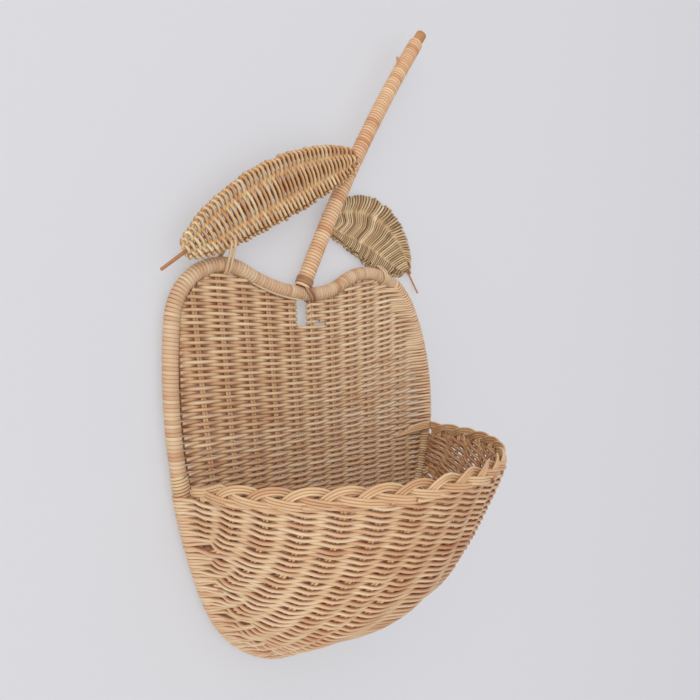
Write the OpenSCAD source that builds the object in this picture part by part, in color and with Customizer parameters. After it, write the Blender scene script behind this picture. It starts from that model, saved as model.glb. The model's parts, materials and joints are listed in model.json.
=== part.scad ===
// Wall basket in the shape of an apple: a bent pole hoop with a woven back,
// a woven half-bowl pocket with a plaited rim, a bound stem and two woven leaves.
// X runs to the right, Y into the wall, Z up. The origin is the middle of the
// pole at the dip of the hoop, where the basket hangs.

/* [Frame hoop] */
// Diameter of the bent rattan pole
pole_d = 9; // [7:0.5:11]
// Left half width, from the dip to the middle of the pole
left_half_w = 134; // [126:1:145]
// Right half width, from the dip to the middle of the pole
right_half_w = 134; // [126:1:145]
// Depth of the widest place of the left side below the dip
left_widest = 71; // [60:1:85]
// Depth of the widest place of the right side below the dip
right_widest = 97; // [85:1:110]
// Height of the left lobe above the dip
left_lobe_h = 22.4; // [18:0.2:26]
// Radius of the left lobe
left_lobe_r = 42.5; // [38:0.5:47]
// Height of the right lobe above the dip
right_lobe_h = 15.8; // [13:0.2:20]
// Radius of the right lobe
right_lobe_r = 60; // [54:1:65]
// Depth of the bottom of the hoop below the dip
bottom_drop = 270; // [255:1:290]
// Radius of the bottom of the hoop
bottom_r = 92; // [84:1:98]
// How far the lowest place lies to the left of the dip
bottom_shift = 24; // [15:1:30]

/* [Reeds] */
// Diameter of the round weaving reed
weaver_d = 2.1; // [1.6:0.1:2.6]
// Diameter of a stake rod
stake_d = 2; // [1.6:0.1:2.4]
// Thickness of the peel that binds the pole
binding_t = 0.9; // [0.6:0.1:1.4]
// Room between two pieces that lie against each other
fit_gap = 0.15; // [0.1:0.05:0.3]

/* [Woven back] */
// Number of stake pairs to either side of the middle pair
side_pairs = 5; // [4:1:5]
// Distance between stake pairs at the height of the dip
top_pitch = 21.9; // [20:0.1:22.6]
// Distance between stake pairs at the height of the bottom
bottom_pitch = 18.4; // [16:0.1:19]
// How far the middle pair stands to the left of the dip
pair_shift = 3.5; // [2:0.5:5]
// Height of one woven band, which stands for a few rows of reed
band_h = 10; // [8:1:14]
// Gap between one band and the next
band_gap = 0.5; // [0.3:0.1:0.8]
// Room beside a stake pair before the band turns to the other face
pair_room = 0.8; // [0.6:0.1:1.2]
// Width of the hanging gap under the dip
hang_gap_w = 15; // [12:0.5:16]
// Depth of that gap below the dip
hang_gap_drop = 23.5; // [20:0.5:26]
// Width of the slit on the other side of the middle pair
slit_w = 12; // [8:0.5:14]
// Height of that slit
slit_h = 5; // [3:0.5:7]

/* [Pocket] */
// Depth of the middle of the rim below the dip
rim_drop = 125.5; // [118:0.5:135]
// How far the pocket stands out of the hoop at its rim
pocket_depth = 143; // [120:1:160]
// How far the pocket's wall reaches past the middle of the pole at its foot
pocket_reach = 2.5; // [1:0.5:4]
// How much of that the straight wall loses on its way down
pocket_taper = 72; // [60:1:80]
// How low the belly turns in: a high number keeps the wall straight for longer
belly_low = 7.2; // [5:0.2:9]
// How full the belly is: a low number is fuller
belly_full = 1.67; // [1.2:0.05:2]
// Number of stake pairs in the pocket
pocket_pairs = 15; // [11:2:15]
// Turn from one stake pair to the next along the rim, in degrees
stake_step = 10; // [9:0.5:11]
// Foot of the outermost stake, as a share of the way down the pocket
first_foot = 0.28; // [0.24:0.02:0.4]
// Depth of the dents in the pocket's wall, where the reed goes behind a stake pair
dent_depth = 1.2; // [0.4:0.1:1.2]
// Height of the plaited rim
braid_h = 15; // [12:0.5:18]
// Thickness of the plaited rim
braid_t = 10.5; // [9:0.5:13]
// Depth of the grooves between the bands of the plait
braid_groove = 1.8; // [1:0.1:2.2]

/* [Stem] */
// Diameter of the stem's pole
stem_d = 9.4; // [8:0.2:11]
// Length of the bound stretch
stem_length = 249; // [220:1:270]
// Bare end above the binding
stem_nub = 14; // [8:1:20]
// Angle between the foot of the stem and the level
stem_angle = 63.5; // [62:0.5:66]
// Radius of the stem's slight bend
stem_bend = 1200; // [1000:10:1400]
// Lean of the stem away from the wall, in degrees
stem_lean = 4; // [3.5:0.1:5]
// How far the foot of the stem stands to the left of the dip
stem_shift = 14.5; // [13:0.5:16]
// Height of the band round the foot of the stem
foot_band_h = 8; // [6:0.5:12]
// Thickness of that band
foot_band_t = 1.2; // [0.8:0.1:1.6]
// Diameter of the nail that holds the stem to the hoop
nail_d = 1.8; // [1.4:0.1:2.2]
// Length of that nail
nail_length = 30; // [24:1:40]

/* [Leaves] */
// Diameter of the fine reed that the leaves are woven with
leaf_reed_d = 1.5; // [1.2:0.1:1.8]
// Diameter of the rods along the edge of a leaf
leaf_edge_d = 2; // [1.6:0.1:2.4]
// Diameter of a leaf's midrib
midrib_d = 2.4; // [2:0.1:2.8]
// Diameter of the reed that ties a leaf to the hoop
tie_d = 1.8; // [1.4:0.1:2]
// Room between the stem and the leaf in front of it
stem_leaf_gap = 0.95; // [0.9:0.05:1.2]
// Room between the hoop and the tip of the leaf in front of it
hoop_leaf_gap = 0.5; // [0.4:0.05:0.8]
// Place of the large leaf's base along the stem
large_at = 117.5; // [115:0.5:120]
// How far that base lies to the left of the stem's middle
large_aside = 5.9; // [5:0.1:7]
// How far the large leaf's tip lies to the left of the dip
large_tip_x = 124; // [122:0.5:126]
// Height of the large leaf's tip above the dip
large_tip_h = 29; // [28:0.5:31]
// Half the width of the large leaf
large_half_w = 22.3; // [18:0.1:25]
// Upward bow of the large leaf's midrib
large_bow = 7.2; // [4:0.1:9]
// Bare end of the large leaf's midrib
large_stub = 20; // [10:1:30]
// Place of the small leaf's base along the stem
small_at = 64; // [63:0.5:66]
// How far that base lies to the right of the stem's middle
small_aside = 1; // [0.5:0.1:2]
// How far the small leaf's tip lies to the right of the dip
small_tip_x = 121; // [119:0.5:122]
// Height of the small leaf's tip above the dip
small_tip_h = 18.8; // [18.4:0.2:20]
// Half the width of the small leaf
small_half_w = 29; // [25:0.5:31]
// Upward bow of the small leaf's midrib
small_bow = 14.5; // [10:0.5:17]
// Bare end of the small leaf's midrib
small_stub = 19; // [10:1:30]

/* [Hidden] */
$fn = 48;
pole_r = pole_d / 2;
bound_r = pole_r + binding_t;
turn_r = pole_r + weaver_d;
stem_r = stem_d / 2;
stem_bound_r = stem_r + binding_t;
seat_gap = 2 * fit_gap;
rim_z = -rim_drop;
bottom_z = -bottom_drop;

// One side of the hoop is three arcs, each [centre x, centre z, radius, from, to]:
// the valley by the dip, the lobe, and the side, which runs into the bottom arc.
function side_r(half_w, widest, shift) =
    let (reach = half_w + shift, rise = bottom_drop - widest - bottom_r)
    (reach * reach + rise * rise - bottom_r * bottom_r) / (2 * (reach - bottom_r));
function side_arcs(half_w, widest, lobe_h, lobe_r, shift) =
    let (
        big_r = side_r(half_w, widest, shift),
        side_x = half_w - big_r,
        lobe_z = lobe_h - lobe_r,
        lobe_x = side_x + sqrt(pow(big_r - lobe_r, 2) - pow(lobe_z + widest, 2)),
        valley_r = (lobe_x * lobe_x + lobe_z * lobe_z - lobe_r * lobe_r) / (2 * lobe_h),
        valley_to = atan2(lobe_z - valley_r, lobe_x),
        lobe_to = atan2(lobe_z + widest, lobe_x - side_x),
        side_to = atan2(bottom_z + bottom_r + widest, -shift - side_x)
    )
    [
        [0, valley_r, valley_r, -90, valley_to],
        [lobe_x, lobe_z, lobe_r, 180 + valley_to, lobe_to],
        [side_x, -widest, big_r, lobe_to, side_to]
    ];
// The left side is worked out as if it lay on the right, and then mirrored.
LEFT = side_arcs(left_half_w, left_widest, left_lobe_h, left_lobe_r, -bottom_shift);
RIGHT = side_arcs(right_half_w, right_widest, right_lobe_h, right_lobe_r, bottom_shift);
BOTTOM = [-bottom_shift, bottom_z + bottom_r, bottom_r, -180 - LEFT[2][4], RIGHT[2][4]];
VALLEY = 0;
LOBE = 1;
SIDE = 2;

// Points of an arc, set inwards from the hoop's centre line.
function arc_points(arc, inset, steps) =
    [for (i = [0:steps])
        let (a = arc[3] + (arc[4] - arc[3]) * i / steps)
        [arc[0] + (arc[2] - inset) * cos(a), arc[1] + (arc[2] - inset) * sin(a)]];
function half_points(arcs, inset) = concat(
    arc_points(arcs[VALLEY], -inset, 16),
    arc_points(arcs[LOBE], inset, 20),
    arc_points(arcs[SIDE], inset, 24)
);
function mirrored(points) = [for (p = points) [-p[0], p[1]]];
function reversed(list) = [for (i = [len(list) - 1:-1:0]) list[i]];
function inner_outline(inset) = concat(
    half_points(RIGHT, inset),
    reversed(arc_points(BOTTOM, inset, 32)),
    reversed(mirrored(half_points(LEFT, inset)))
);

// Height of the hoop's upper run, inset from the centre line, at a place across.
function upper_z(x, inset) =
    let (
        arcs = x < 0 ? LEFT : RIGHT,
        u = abs(x),
        valley = arcs[VALLEY],
        lobe = arcs[LOBE],
        side = arcs[SIDE]
    )
    u < (valley[2] + inset) * cos(valley[4]) ?
        valley[1] - sqrt(pow(valley[2] + inset, 2) - u * u)
    : u < lobe[0] + (lobe[2] - inset) * cos(lobe[4]) ?
        lobe[1] + sqrt(pow(lobe[2] - inset, 2) - pow(u - lobe[0], 2))
    : side[1] + sqrt(pow(side[2] - inset, 2) - pow(u - side[0], 2));
// Height of the hoop's lower run, inset from the centre line, at a place across.
function lower_z(x, inset) =
    let (
        arcs = x < BOTTOM[0] ? LEFT : RIGHT,
        mid = x < BOTTOM[0] ? -BOTTOM[0] : BOTTOM[0],
        u = x < BOTTOM[0] ? -x : x,
        side = arcs[SIDE]
    )
    u > mid + (bottom_r - inset) * cos(side[4]) ?
        side[1] - sqrt(pow(side[2] - inset, 2) - pow(u - side[0], 2))
    : BOTTOM[1] - sqrt(pow(bottom_r - inset, 2) - pow(u - mid, 2));
// Half width of a side below its widest place, set outwards from the centre line.
function side_x(arcs, mid, z, out) =
    let (side = arcs[SIDE], join_z = BOTTOM[1] + (bottom_r + out) * sin(side[4]))
    z > join_z ? side[0] + sqrt(pow(side[2] + out, 2) - pow(z - side[1], 2))
    : mid + sqrt(max(0, pow(bottom_r + out, 2) - pow(z - BOTTOM[1], 2)));

// A profile bent along an arc that lies in the plane of the wall.
module bend(arc, from, to) {
    translate([arc[0], 0, arc[1]])
        rotate([90, 0, 0])
            rotate([0, 0, min(from, to)])
                rotate_extrude(angle = abs(to - from))
                    translate([arc[2], 0])
                        children();
}
module round_profile(inner, outer) {
    difference() {
        circle(outer);
        if (inner > 0)
            circle(inner);
    }
}
// A stretch of rod or sleeve stops a hair short of the next one, and a collar a
// little larger than both closes the joint, so that a run of arcs is one piece.
joint_hair = 0.02;
collar_w = 0.6;
collar_up = 0.03;
function arc_turn(arc, length) = 180 * length / (PI * arc[2]);
module stretch(arc, from, to, inner, outer) {
    hair = arc_turn(arc, joint_hair);
    bend(arc, min(from, to) + hair, max(from, to) - hair)
        round_profile(inner, outer);
}
module collar(arc, at, inner, outer) {
    half = arc_turn(arc, collar_w / 2);
    bend(arc, at - half, at + half)
        round_profile(inner - collar_up, outer + collar_up);
}
function two(a, b, c, d) = [[a, b, c], [a, c, d]];
// A closed tube round a path of points, or an open one with flat ends.
function unit(v) = v / norm(v);
function ring_at(path, i, r, sides, ref, closed) =
    let (
        n = len(path),
        before = path[closed ? (i + n - 1) % n : max(i - 1, 0)],
        after = path[closed ? (i + 1) % n : min(i + 1, n - 1)],
        ahead = unit(after - before),
        across = unit(cross(ahead, ref)),
        over = cross(across, ahead)
    )
    [for (k = [0:sides - 1]) path[i] + r * (cos(360 * k / sides) * across + sin(360 * k / sides) * over)];
module tube(path, r, sides, ref, closed = false) {
    n = len(path);
    runs = closed ? n : n - 1;
    points = [for (i = [0:n - 1]) each ring_at(path, i, r, sides, ref, closed)];
    walls = [for (i = [0:runs - 1], k = [0:sides - 1])
        let (
            a = i * sides + k,
            b = i * sides + (k + 1) % sides,
            c = ((i + 1) % n) * sides + (k + 1) % sides,
            d = ((i + 1) % n) * sides + k
        )
        each [[a, c, b], [a, d, c]]];
    ends = closed ? [] : concat(
        [for (k = [1:sides - 2]) [0, k, k + 1]],
        [for (k = [1:sides - 2]) [(n - 1) * sides, (n - 1) * sides + k + 1, (n - 1) * sides + k]]
    );
    polyhedron(points, concat(walls, ends));
}

// Where the runs of binding and weaver turns round the pole begin and end.
left_rim_from = asin((rim_z + braid_h / 2 - LEFT[SIDE][1]) / LEFT[SIDE][2]);
right_rim_from = asin((rim_z - RIGHT[SIDE][1]) / RIGHT[SIDE][2]);
right_binding_to = 62;
run_gap = 0.1;

// The nail and the stem share one axis, which leaves the pole at the stem's foot.
stem_foot_z = upper_z(-stem_shift, 0);
module at_stem_foot() {
    translate([-stem_shift, 0, stem_foot_z])
        rotate([stem_lean, 0, 0])
            rotate([0, 90 - stem_angle, 0])
                children();
}
function stem_turn(length) = 180 * length / (PI * stem_bend);
stem_arc = [stem_bend, 0, stem_bend, 180, 180];
// A place on the stem's middle line, or to one side of it in the stem's own plane.
function stem_place(length, aside) =
    let (
        turn = stem_turn(length),
        tilt = 90 - stem_angle,
        across = stem_bend - (stem_bend - aside) * cos(turn),
        rise = (stem_bend - aside) * sin(turn),
        x = rise * sin(tilt) + across * cos(tilt),
        up = rise * cos(tilt) - across * sin(tilt)
    )
    [x - stem_shift, -up * sin(stem_lean), up * cos(stem_lean) + stem_foot_z];
module stem_run(from, to) {
    bend(stem_arc, 180 - stem_turn(from), 180 - stem_turn(to))
        children();
}
nail_below = pole_r;
module nail_hole() {
    at_stem_foot()
        translate([0, 0, -bound_r - 1])
            cylinder(h = nail_length + bound_r, r = nail_d / 2 + fit_gap / 2);
}

module half_hoop(arcs) {
    for (arc = arcs)
        stretch(arc, arc[3], arc[4], 0, pole_r);
    collar(arcs[VALLEY], arcs[VALLEY][4], 0, pole_r);
    collar(arcs[SIDE], arcs[SIDE][3], 0, pole_r);
    collar(arcs[SIDE], arcs[SIDE][4], 0, pole_r);
}
module frame_hoop() {
    color("tan")
        difference() {
            union() {
                half_hoop(RIGHT);
                mirror([1, 0, 0])
                    half_hoop(LEFT);
                stretch(BOTTOM, BOTTOM[3], BOTTOM[4], 0, pole_r);
                collar(RIGHT[VALLEY], RIGHT[VALLEY][3], 0, pole_r);
            }
            nail_hole();
        }
}
sleeve_r = pole_r + fit_gap;
module hoop_binding_left() {
    color("burlywood")
        difference() {
            mirror([1, 0, 0]) {
                for (arc = [LEFT[VALLEY], LEFT[LOBE]])
                    stretch(arc, arc[3], arc[4], sleeve_r, bound_r);
                stretch(LEFT[SIDE], left_rim_from, LEFT[SIDE][3], sleeve_r, bound_r);
                collar(LEFT[VALLEY], LEFT[VALLEY][4], sleeve_r, bound_r);
                collar(LEFT[SIDE], LEFT[SIDE][3], sleeve_r, bound_r);
            }
            nail_hole();
        }
}
module hoop_binding_right() {
    color("burlywood") {
        stretch(RIGHT[VALLEY], RIGHT[VALLEY][3] + run_gap, RIGHT[VALLEY][4], sleeve_r, bound_r);
        stretch(RIGHT[LOBE], right_binding_to, RIGHT[LOBE][3], sleeve_r, bound_r);
        collar(RIGHT[VALLEY], RIGHT[VALLEY][4], sleeve_r, bound_r);
    }
}
module hoop_turns_right() {
    color("peru") {
        stretch(RIGHT[LOBE], RIGHT[LOBE][4], right_binding_to - run_gap, sleeve_r, turn_r);
        stretch(RIGHT[SIDE], right_rim_from, RIGHT[SIDE][3], sleeve_r, turn_r);
        collar(RIGHT[SIDE], RIGHT[SIDE][3], sleeve_r, turn_r);
    }
}
module hoop_turns_lower() {
    color("peru") {
        stretch(RIGHT[SIDE], RIGHT[SIDE][4], right_rim_from - run_gap, sleeve_r, turn_r);
        stretch(BOTTOM, BOTTOM[3], BOTTOM[4], sleeve_r, turn_r);
        collar(BOTTOM, BOTTOM[4], sleeve_r, turn_r);
        collar(BOTTOM, BOTTOM[3], sleeve_r, turn_r);
        mirror([1, 0, 0])
            stretch(LEFT[SIDE], LEFT[SIDE][4], left_rim_from - run_gap, sleeve_r, turn_r);
    }
}

// The woven back fills the hoop up to the turns round the pole.
back_inset = turn_r + seat_gap;
rod_half = stake_d / 2 + fit_gap;
pair_shrink = (top_pitch - bottom_pitch) / (top_pitch * bottom_drop);
function rod_x(pair, side, z) =
    (pair * top_pitch - pair_shift) * (1 + pair_shrink * z) + side * rod_half;
function rod_top(pair, side) =
    let (near = upper_z(rod_x(pair, side, 0), back_inset))
    upper_z(rod_x(pair, side, near), back_inset);
function rod_foot(pair, side) =
    let (near = lower_z(rod_x(pair, side, -bottom_drop), back_inset))
    lower_z(rod_x(pair, side, near), back_inset);
module back_rod(pair, side) {
    top = [rod_x(pair, side, rod_top(pair, side)), rod_top(pair, side)];
    foot = [rod_x(pair, side, rod_foot(pair, side)), rod_foot(pair, side)];
    span = top - foot;
    translate([foot[0], 0, foot[1]])
        rotate([0, atan2(span[0], span[1]), 0])
            cylinder(h = norm(span), r = stake_d / 2);
}
module back_stakes(pair) {
    color("wheat")
        for (side = [-1, 1])
            back_rod(pair, side);
}
middle_left = -pair_shift - 2 * rod_half - seat_gap;
middle_right = -pair_shift + 2 * rod_half + seat_gap;
// The back is woven in bands, each in front of one stake pair and behind the next, and
// the next band the other way about. A band ends at the hoop and at the hanging gap.
top_inset = back_inset + tie_d / 2;
swing = stake_d / 2 + fit_gap + weaver_d / 2;
flat_half = rod_half + stake_d / 2 + pair_room;
band_least = 1.2;
band_rows = round((bottom_drop - back_inset - hang_gap_drop) / band_h);
band_pitch = (bottom_drop - back_inset - hang_gap_drop) / band_rows;
lobe_rows = ceil((hang_gap_drop + max(left_lobe_h, right_lobe_h)) / band_pitch);
slit_low = -hang_gap_drop - slit_h / 2;
slit_to = middle_right + slit_w;
function band_y(x, z, row) =
    let (
        pitch = top_pitch * (1 + pair_shrink * z),
        place = (x - rod_x(0, 0, z)) / pitch,
        pair = round(place),
        off = abs(place - pair) * pitch,
        lift = off < flat_half ? 1 : (pitch / 2 - off) / (pitch / 2 - flat_half)
    )
    swing * lift * (abs(pair + row) % 2 == 0 ? -1 : 1);
function in_slit(x) = x > middle_right - fit_gap && x < slit_to;
function band_low(x, from, to) =
    max(from, lower_z(x, back_inset), in_slit(x) && to > slit_low + slit_h ? slit_low + slit_h : from);
function band_high(x, from, to) =
    min(to, upper_z(x, top_inset), in_slit(x) && from < slit_low ? slit_low : to);
// The ends, within two limits, of the stretch where a band has at least some height.
function band_span(left, right, from, to, least) =
    let (full = [for (x = [left:0.25:right])
        if (band_high(x, from, to) - band_low(x, from, to) > least) x])
    len(full) > 16 ? [full[0], full[len(full) - 1]] : [];
function sorted(list) =
    len(list) < 2 ? list
    : let (mid = list[floor(len(list) / 2)])
    concat(sorted([for (v = list) if (v < mid) v]), [mid], sorted([for (v = list) if (v > mid) v]));
// A band's stations: its ends, where the hoop starts to cut into it, both sides of
// each stake pair, and the slit's steps.
function band_stations(span, from, to) =
    let (
        z = (from + to) / 2,
        most = to - from - band_least / 2,
        whole = band_span(span[0], span[1], from, to, most),
        half = band_span(span[0], span[1], from, to, most / 2),
        pairs = [for (pair = [-side_pairs:side_pairs], side = [-1, 1]) rod_x(pair, 0, z) + side * flat_half],
        steps = from < slit_low + slit_h && to > slit_low ?
            [middle_right - 2 * fit_gap, middle_right, slit_to - fit_gap, slit_to + fit_gap] : []
    )
    sorted(concat(span,
        [for (x = concat(whole, half, pairs, steps)) if (x > span[0] + 0.1 && x < span[1] - 0.1) x]));
module band(span, from, to, row) {
    stations = band_stations(span, from, to);
    n = len(stations);
    points = [for (x = stations)
        let (y = band_y(x, (from + to) / 2, row), low = band_low(x, from, to), high = band_high(x, from, to))
        each [[x, y - weaver_d / 2, low], [x, y - weaver_d / 2, high],
            [x, y + weaver_d / 2, high], [x, y + weaver_d / 2, low]]];
    walls = [for (i = [0:n - 2], k = [0:3])
        each two(4 * i + k, 4 * i + (k + 1) % 4, 4 * i + 4 + (k + 1) % 4, 4 * i + 4 + k)];
    ends = concat(two(0, 3, 2, 1), two(4 * n - 4, 4 * n - 3, 4 * n - 2, 4 * n - 1));
    polyhedron(points, concat(walls, ends));
}
module back_weave() {
    far_left = top_inset - left_half_w;
    far_right = right_half_w - top_inset;
    color("burlywood")
        for (row = [0:band_rows + lobe_rows - 1]) {
            from = bottom_z + back_inset + row * band_pitch;
            to = from + band_pitch - band_gap;
            limits = row < band_rows ? [[far_left, far_right]]
                : [[far_left, middle_left - hang_gap_w], [middle_right, far_right]];
            for (limit = limits) {
                span = band_span(limit[0], limit[1], from, to, band_least);
                if (len(span) > 0)
                    band(span, from, to, row);
            }
        }
}

// The pocket's wall is two skins of weave with the stakes between them. Its level
// sections are half ellipses, which shrink on the way down to the hoop's bottom.
slot_t = stake_d + 1;
pocket_t = 2 * weaver_d + slot_t;
pocket_seat = turn_r + seat_gap;
skin_web = 3;
pocket_top = rim_z - braid_h / 2 - fit_gap;
pocket_across = 32;
pocket_down = 18;
function wall_share(u) =
    (1 - pocket_taper / pocket_depth) * pow(max(0, 1 - pow(u, belly_low)), belly_full)
    + pocket_taper / pocket_depth * (1 - u);
function pocket_point(a, u, inset, seat) =
    let (
        out = pocket_reach - inset,
        z = pocket_top + u * (bottom_z - out - pocket_top),
        down = (rim_z - z) / (rim_z - bottom_z + out),
        right = side_x(RIGHT, BOTTOM[0], z, out),
        left = side_x(LEFT, -BOTTOM[0], z, out),
        depth = wall_share(down) * (pocket_depth - inset - seat + pocket_seat)
    )
    [(right - left) / 2 - (right + left) / 2 * cos(a), -seat - depth * sin(a), z];
// The reed goes in front of one stake pair and behind the next, and the next row the
// other way about. This dents the outer face where it goes behind, and the inner face
// where it goes in front. The wall's edges keep their place.
function pairs_across(u) =
    let (crossed = [for (k = [1:pocket_pairs]) if (stake_foot(k) > u) k])
    concat(
        [[0, crossed[0] - 1]],
        [for (k = crossed) [stake_turn(k, stake_share(k, u)), k]],
        [[180, crossed[len(crossed) - 1] + 1]]
    );
function dent(i, j, u, face) =
    let (
        pair = lookup(180 * i / pocket_across, pairs_across(u)),
        over = face * (j % 2 == 0 ? 1 : -1) * cos(180 * pair)
    )
    i == 0 || i == pocket_across || j == 0 ? 0 : dent_depth * (1 + over) / 2;
function skin_points(inset, seat, face = 0) = concat(
    [for (j = [0:pocket_down - 1], i = [0:pocket_across])
        let (
            u = sin(90 * j / pocket_down),
            deep = face == 0 ? 0 : face * dent(i, j, u, face)
        )
        pocket_point(180 * i / pocket_across, u, inset + deep, seat)],
    [pocket_point(90, 1, inset, seat)]
);
skin_size = pocket_down * (pocket_across + 1) + 1;
function skin_id(skin, j, i) =
    skin * skin_size + (j < pocket_down ? j * (pocket_across + 1) + i : skin_size - 1);
function skin_faces(skin, turned) =
    [for (j = [0:pocket_down - 1], i = [0:pocket_across - 1])
        let (
            a = skin_id(skin, j, i),
            b = skin_id(skin, j, i + 1),
            c = skin_id(skin, j + 1, i + 1),
            d = skin_id(skin, j + 1, i),
            faces = j < pocket_down - 1 ? two(a, b, c, d) : [[a, b, c]]
        )
        each turned ? [for (f = faces) reversed(f)] : faces];
function edge_faces(skin, other, turned) =
    [for (j = [0:pocket_down - 1], i = [0, pocket_across])
        let (
            a = skin_id(skin, j, i),
            b = skin_id(skin, j + 1, i),
            c = skin_id(other, j + 1, i),
            d = skin_id(other, j, i),
            faces = two(a, b, c, d)
        )
        each (i == 0) == turned ? faces : [for (f = faces) reversed(f)]];
function top_faces(skin, other) =
    [for (i = [0:pocket_across - 1])
        each two(skin_id(skin, 0, i), skin_id(other, 0, i),
            skin_id(other, 0, i + 1), skin_id(skin, 0, i + 1))];
function corner_faces() = concat(
    two(skin_id(0, 0, 0), skin_id(3, 0, 0), skin_id(2, 0, 0), skin_id(1, 0, 0)),
    two(skin_id(0, 0, pocket_across), skin_id(1, 0, pocket_across),
        skin_id(2, 0, pocket_across), skin_id(3, 0, pocket_across))
);
module pocket_weave() {
    color("burlywood")
        polyhedron(
            concat(
                skin_points(0, pocket_seat, 1),
                skin_points(weaver_d, pocket_seat + skin_web),
                skin_points(weaver_d + slot_t, pocket_seat + skin_web),
                skin_points(pocket_t, pocket_seat, -1)
            ),
            concat(
                skin_faces(0, false), skin_faces(1, true), skin_faces(2, false), skin_faces(3, true),
                edge_faces(0, 3, true), edge_faces(1, 2, false),
                top_faces(0, 1), top_faces(2, 3), corner_faces()
            )
        );
}

// A stake starts at the rim, runs down the wall and turns in to its foot on the hoop.
middle_stake = (pocket_pairs + 1) / 2;
stake_steps = 12;
stake_reach = 0.86;
foot_step = 84 / (middle_stake - 1);
function stake_foot(k) =
    1 - (1 - first_foot) * (1 - cos(foot_step * abs(k - middle_stake))) / (1 - cos(84));
function stake_turn(k, t) =
    90 + sign(k - middle_stake) * (90 - (90 - stake_step * abs(k - middle_stake)) * cos(90 * t));
// A stake's height along its way, and its way at a height, as shares of the pocket.
stake_ease = 0.9;
function stake_down(k, t) = stake_foot(k) * pow(sin(90 * t), stake_ease);
function stake_share(k, u) = asin(pow(u / stake_foot(k), 1 / stake_ease)) / 90;
function stake_point(k, t, more) =
    pocket_point(stake_turn(k, t) + more, stake_down(k, t), pocket_t / 2, pocket_seat + skin_web);
function stake_path(k, side) =
    [for (i = [0:stake_steps])
        let (
            t = stake_reach * i / stake_steps,
            mid = stake_point(k, t, 0),
            ahead = stake_point(k, t + 0.01, 0) - mid,
            across = stake_point(k, t, 1) - mid
        )
        mid + side * (rod_half + fit_gap) * unit(cross(ahead, cross(across, ahead)))];
module pocket_stakes(k) {
    color("wheat")
        for (side = [-1, 1])
            tube(stake_path(k, side), stake_d / 2, 6, [0.9, 0.3, 0.1]);
}

// The plait winds along the rim, with one band to each stake pair. A ring's points are
// crests and grooves by turns, and each ring is a step further round than the last.
braid_steps = 4;
braid_sides = 3 * braid_steps;
braid_rings = braid_steps * round(180 / stake_step);
function groove(i, k) =
    braid_groove * (1 - cos(360 * (k - i + braid_rings) / braid_steps)) / 2;
module rim_braid() {
    path = [for (i = [0:braid_rings]) pocket_point(180 * i / braid_rings, 0, pocket_t / 2, pocket_seat)];
    rings = [for (i = [0:braid_rings])
        let (
            ahead = unit(path[min(i + 1, braid_rings)] - path[max(i - 1, 0)]),
            flat = i == 0 || i == braid_rings ? [0, i == 0 ? -1 : 1, 0] : ahead,
            across = unit(cross(flat, [0, 0, 1]))
        )
        each [for (k = [0:braid_sides - 1])
            [path[i][0], path[i][1], rim_z]
            + across * (braid_t / 2 - groove(i, k)) * cos(360 * k / braid_sides)
            + [0, 0, (braid_h / 2 - groove(i, k)) * sin(360 * k / braid_sides)]]];
    walls = [for (i = [0:braid_rings - 1], k = [0:braid_sides - 1])
        let (m = (k + 1) % braid_sides)
        each two(i * braid_sides + k, (i + 1) * braid_sides + k,
            (i + 1) * braid_sides + m, i * braid_sides + m)];
    last = braid_rings * braid_sides;
    ends = concat(
        [for (k = [1:braid_sides - 2]) [0, k, k + 1]],
        [for (k = [1:braid_sides - 2]) [last, last + k + 1, last + k]]
    );
    color("tan")
        polyhedron(rings, concat(walls, ends));
}

module stem_pole() {
    color("tan")
        difference() {
            at_stem_foot()
                stem_run(bound_r / 2, stem_length + stem_nub)
                    circle(stem_r);
            coped_foot();
            nail_hole();
        }
}
// The foot of the stem is hollowed to sit on the bound pole.
module coped_foot() {
    mirror([1, 0, 0])
        bend(LEFT[VALLEY], LEFT[VALLEY][3], LEFT[VALLEY][4])
            circle(bound_r + fit_gap);
    bend(RIGHT[VALLEY], RIGHT[VALLEY][3], RIGHT[VALLEY][4])
        circle(bound_r + fit_gap);
}
module stem_binding() {
    color("burlywood")
        at_stem_foot()
            stem_run(bound_r + stem_r, stem_length)
                round_profile(stem_r + fit_gap, stem_bound_r);
}
module stem_foot_band() {
    color("sienna")
        at_stem_foot()
            stem_run(bound_r + stem_r, bound_r + stem_r + foot_band_h)
                round_profile(stem_bound_r + fit_gap, stem_bound_r + foot_band_t);
}
module stem_nail() {
    color("gray")
        at_stem_foot()
            translate([0, 0, -nail_below])
                cylinder(h = nail_length, r = nail_d / 2);
}

// A leaf is [base, tip, half width, bow, stub, fullness to the tip, tie's place, tie's side].
// It is drawn from base to tip along X, with Z across, and then turned to its place.
leaf_t = leaf_edge_d + 2 * leaf_reed_d;
large_base = stem_place(large_at, -large_aside) - [0, stem_bound_r + stem_leaf_gap + leaf_t / 2, 0];
large_tip = [-large_tip_x, -bound_r - hoop_leaf_gap - leaf_t / 2, large_tip_h];
small_base = stem_place(small_at, small_aside) + [0, stem_bound_r + seat_gap + leaf_t / 2, 0];
small_tip = [small_tip_x, small_base[1], small_tip_h];
LARGE = [large_base, large_tip, large_half_w, -large_bow, large_stub, 1, 0.8, 1];
SMALL = [small_base, small_tip, small_half_w, small_bow, small_stub, 1.2, 0.7, -1];
leaf_steps = 28;
edge_start = 1;
edge_clear = midrib_d / 2 + leaf_edge_d / 2 + fit_gap;
rib_clear = midrib_d / 2 + fit_gap;
function leaf_length(leaf) = norm(leaf[1] - leaf[0]);
function leaf_heading(leaf) =
    let (span = leaf[1] - leaf[0])
    [atan2(-span[2], span[0]), asin(span[1] / norm(span))];
module at_leaf(leaf) {
    heading = leaf_heading(leaf);
    translate(leaf[0])
        rotate([0, heading[0], 0])
            rotate([0, 0, heading[1]])
                children();
}
function rib_z(leaf, x) = leaf[3] * sin(180 * x / leaf_length(leaf));
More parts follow.
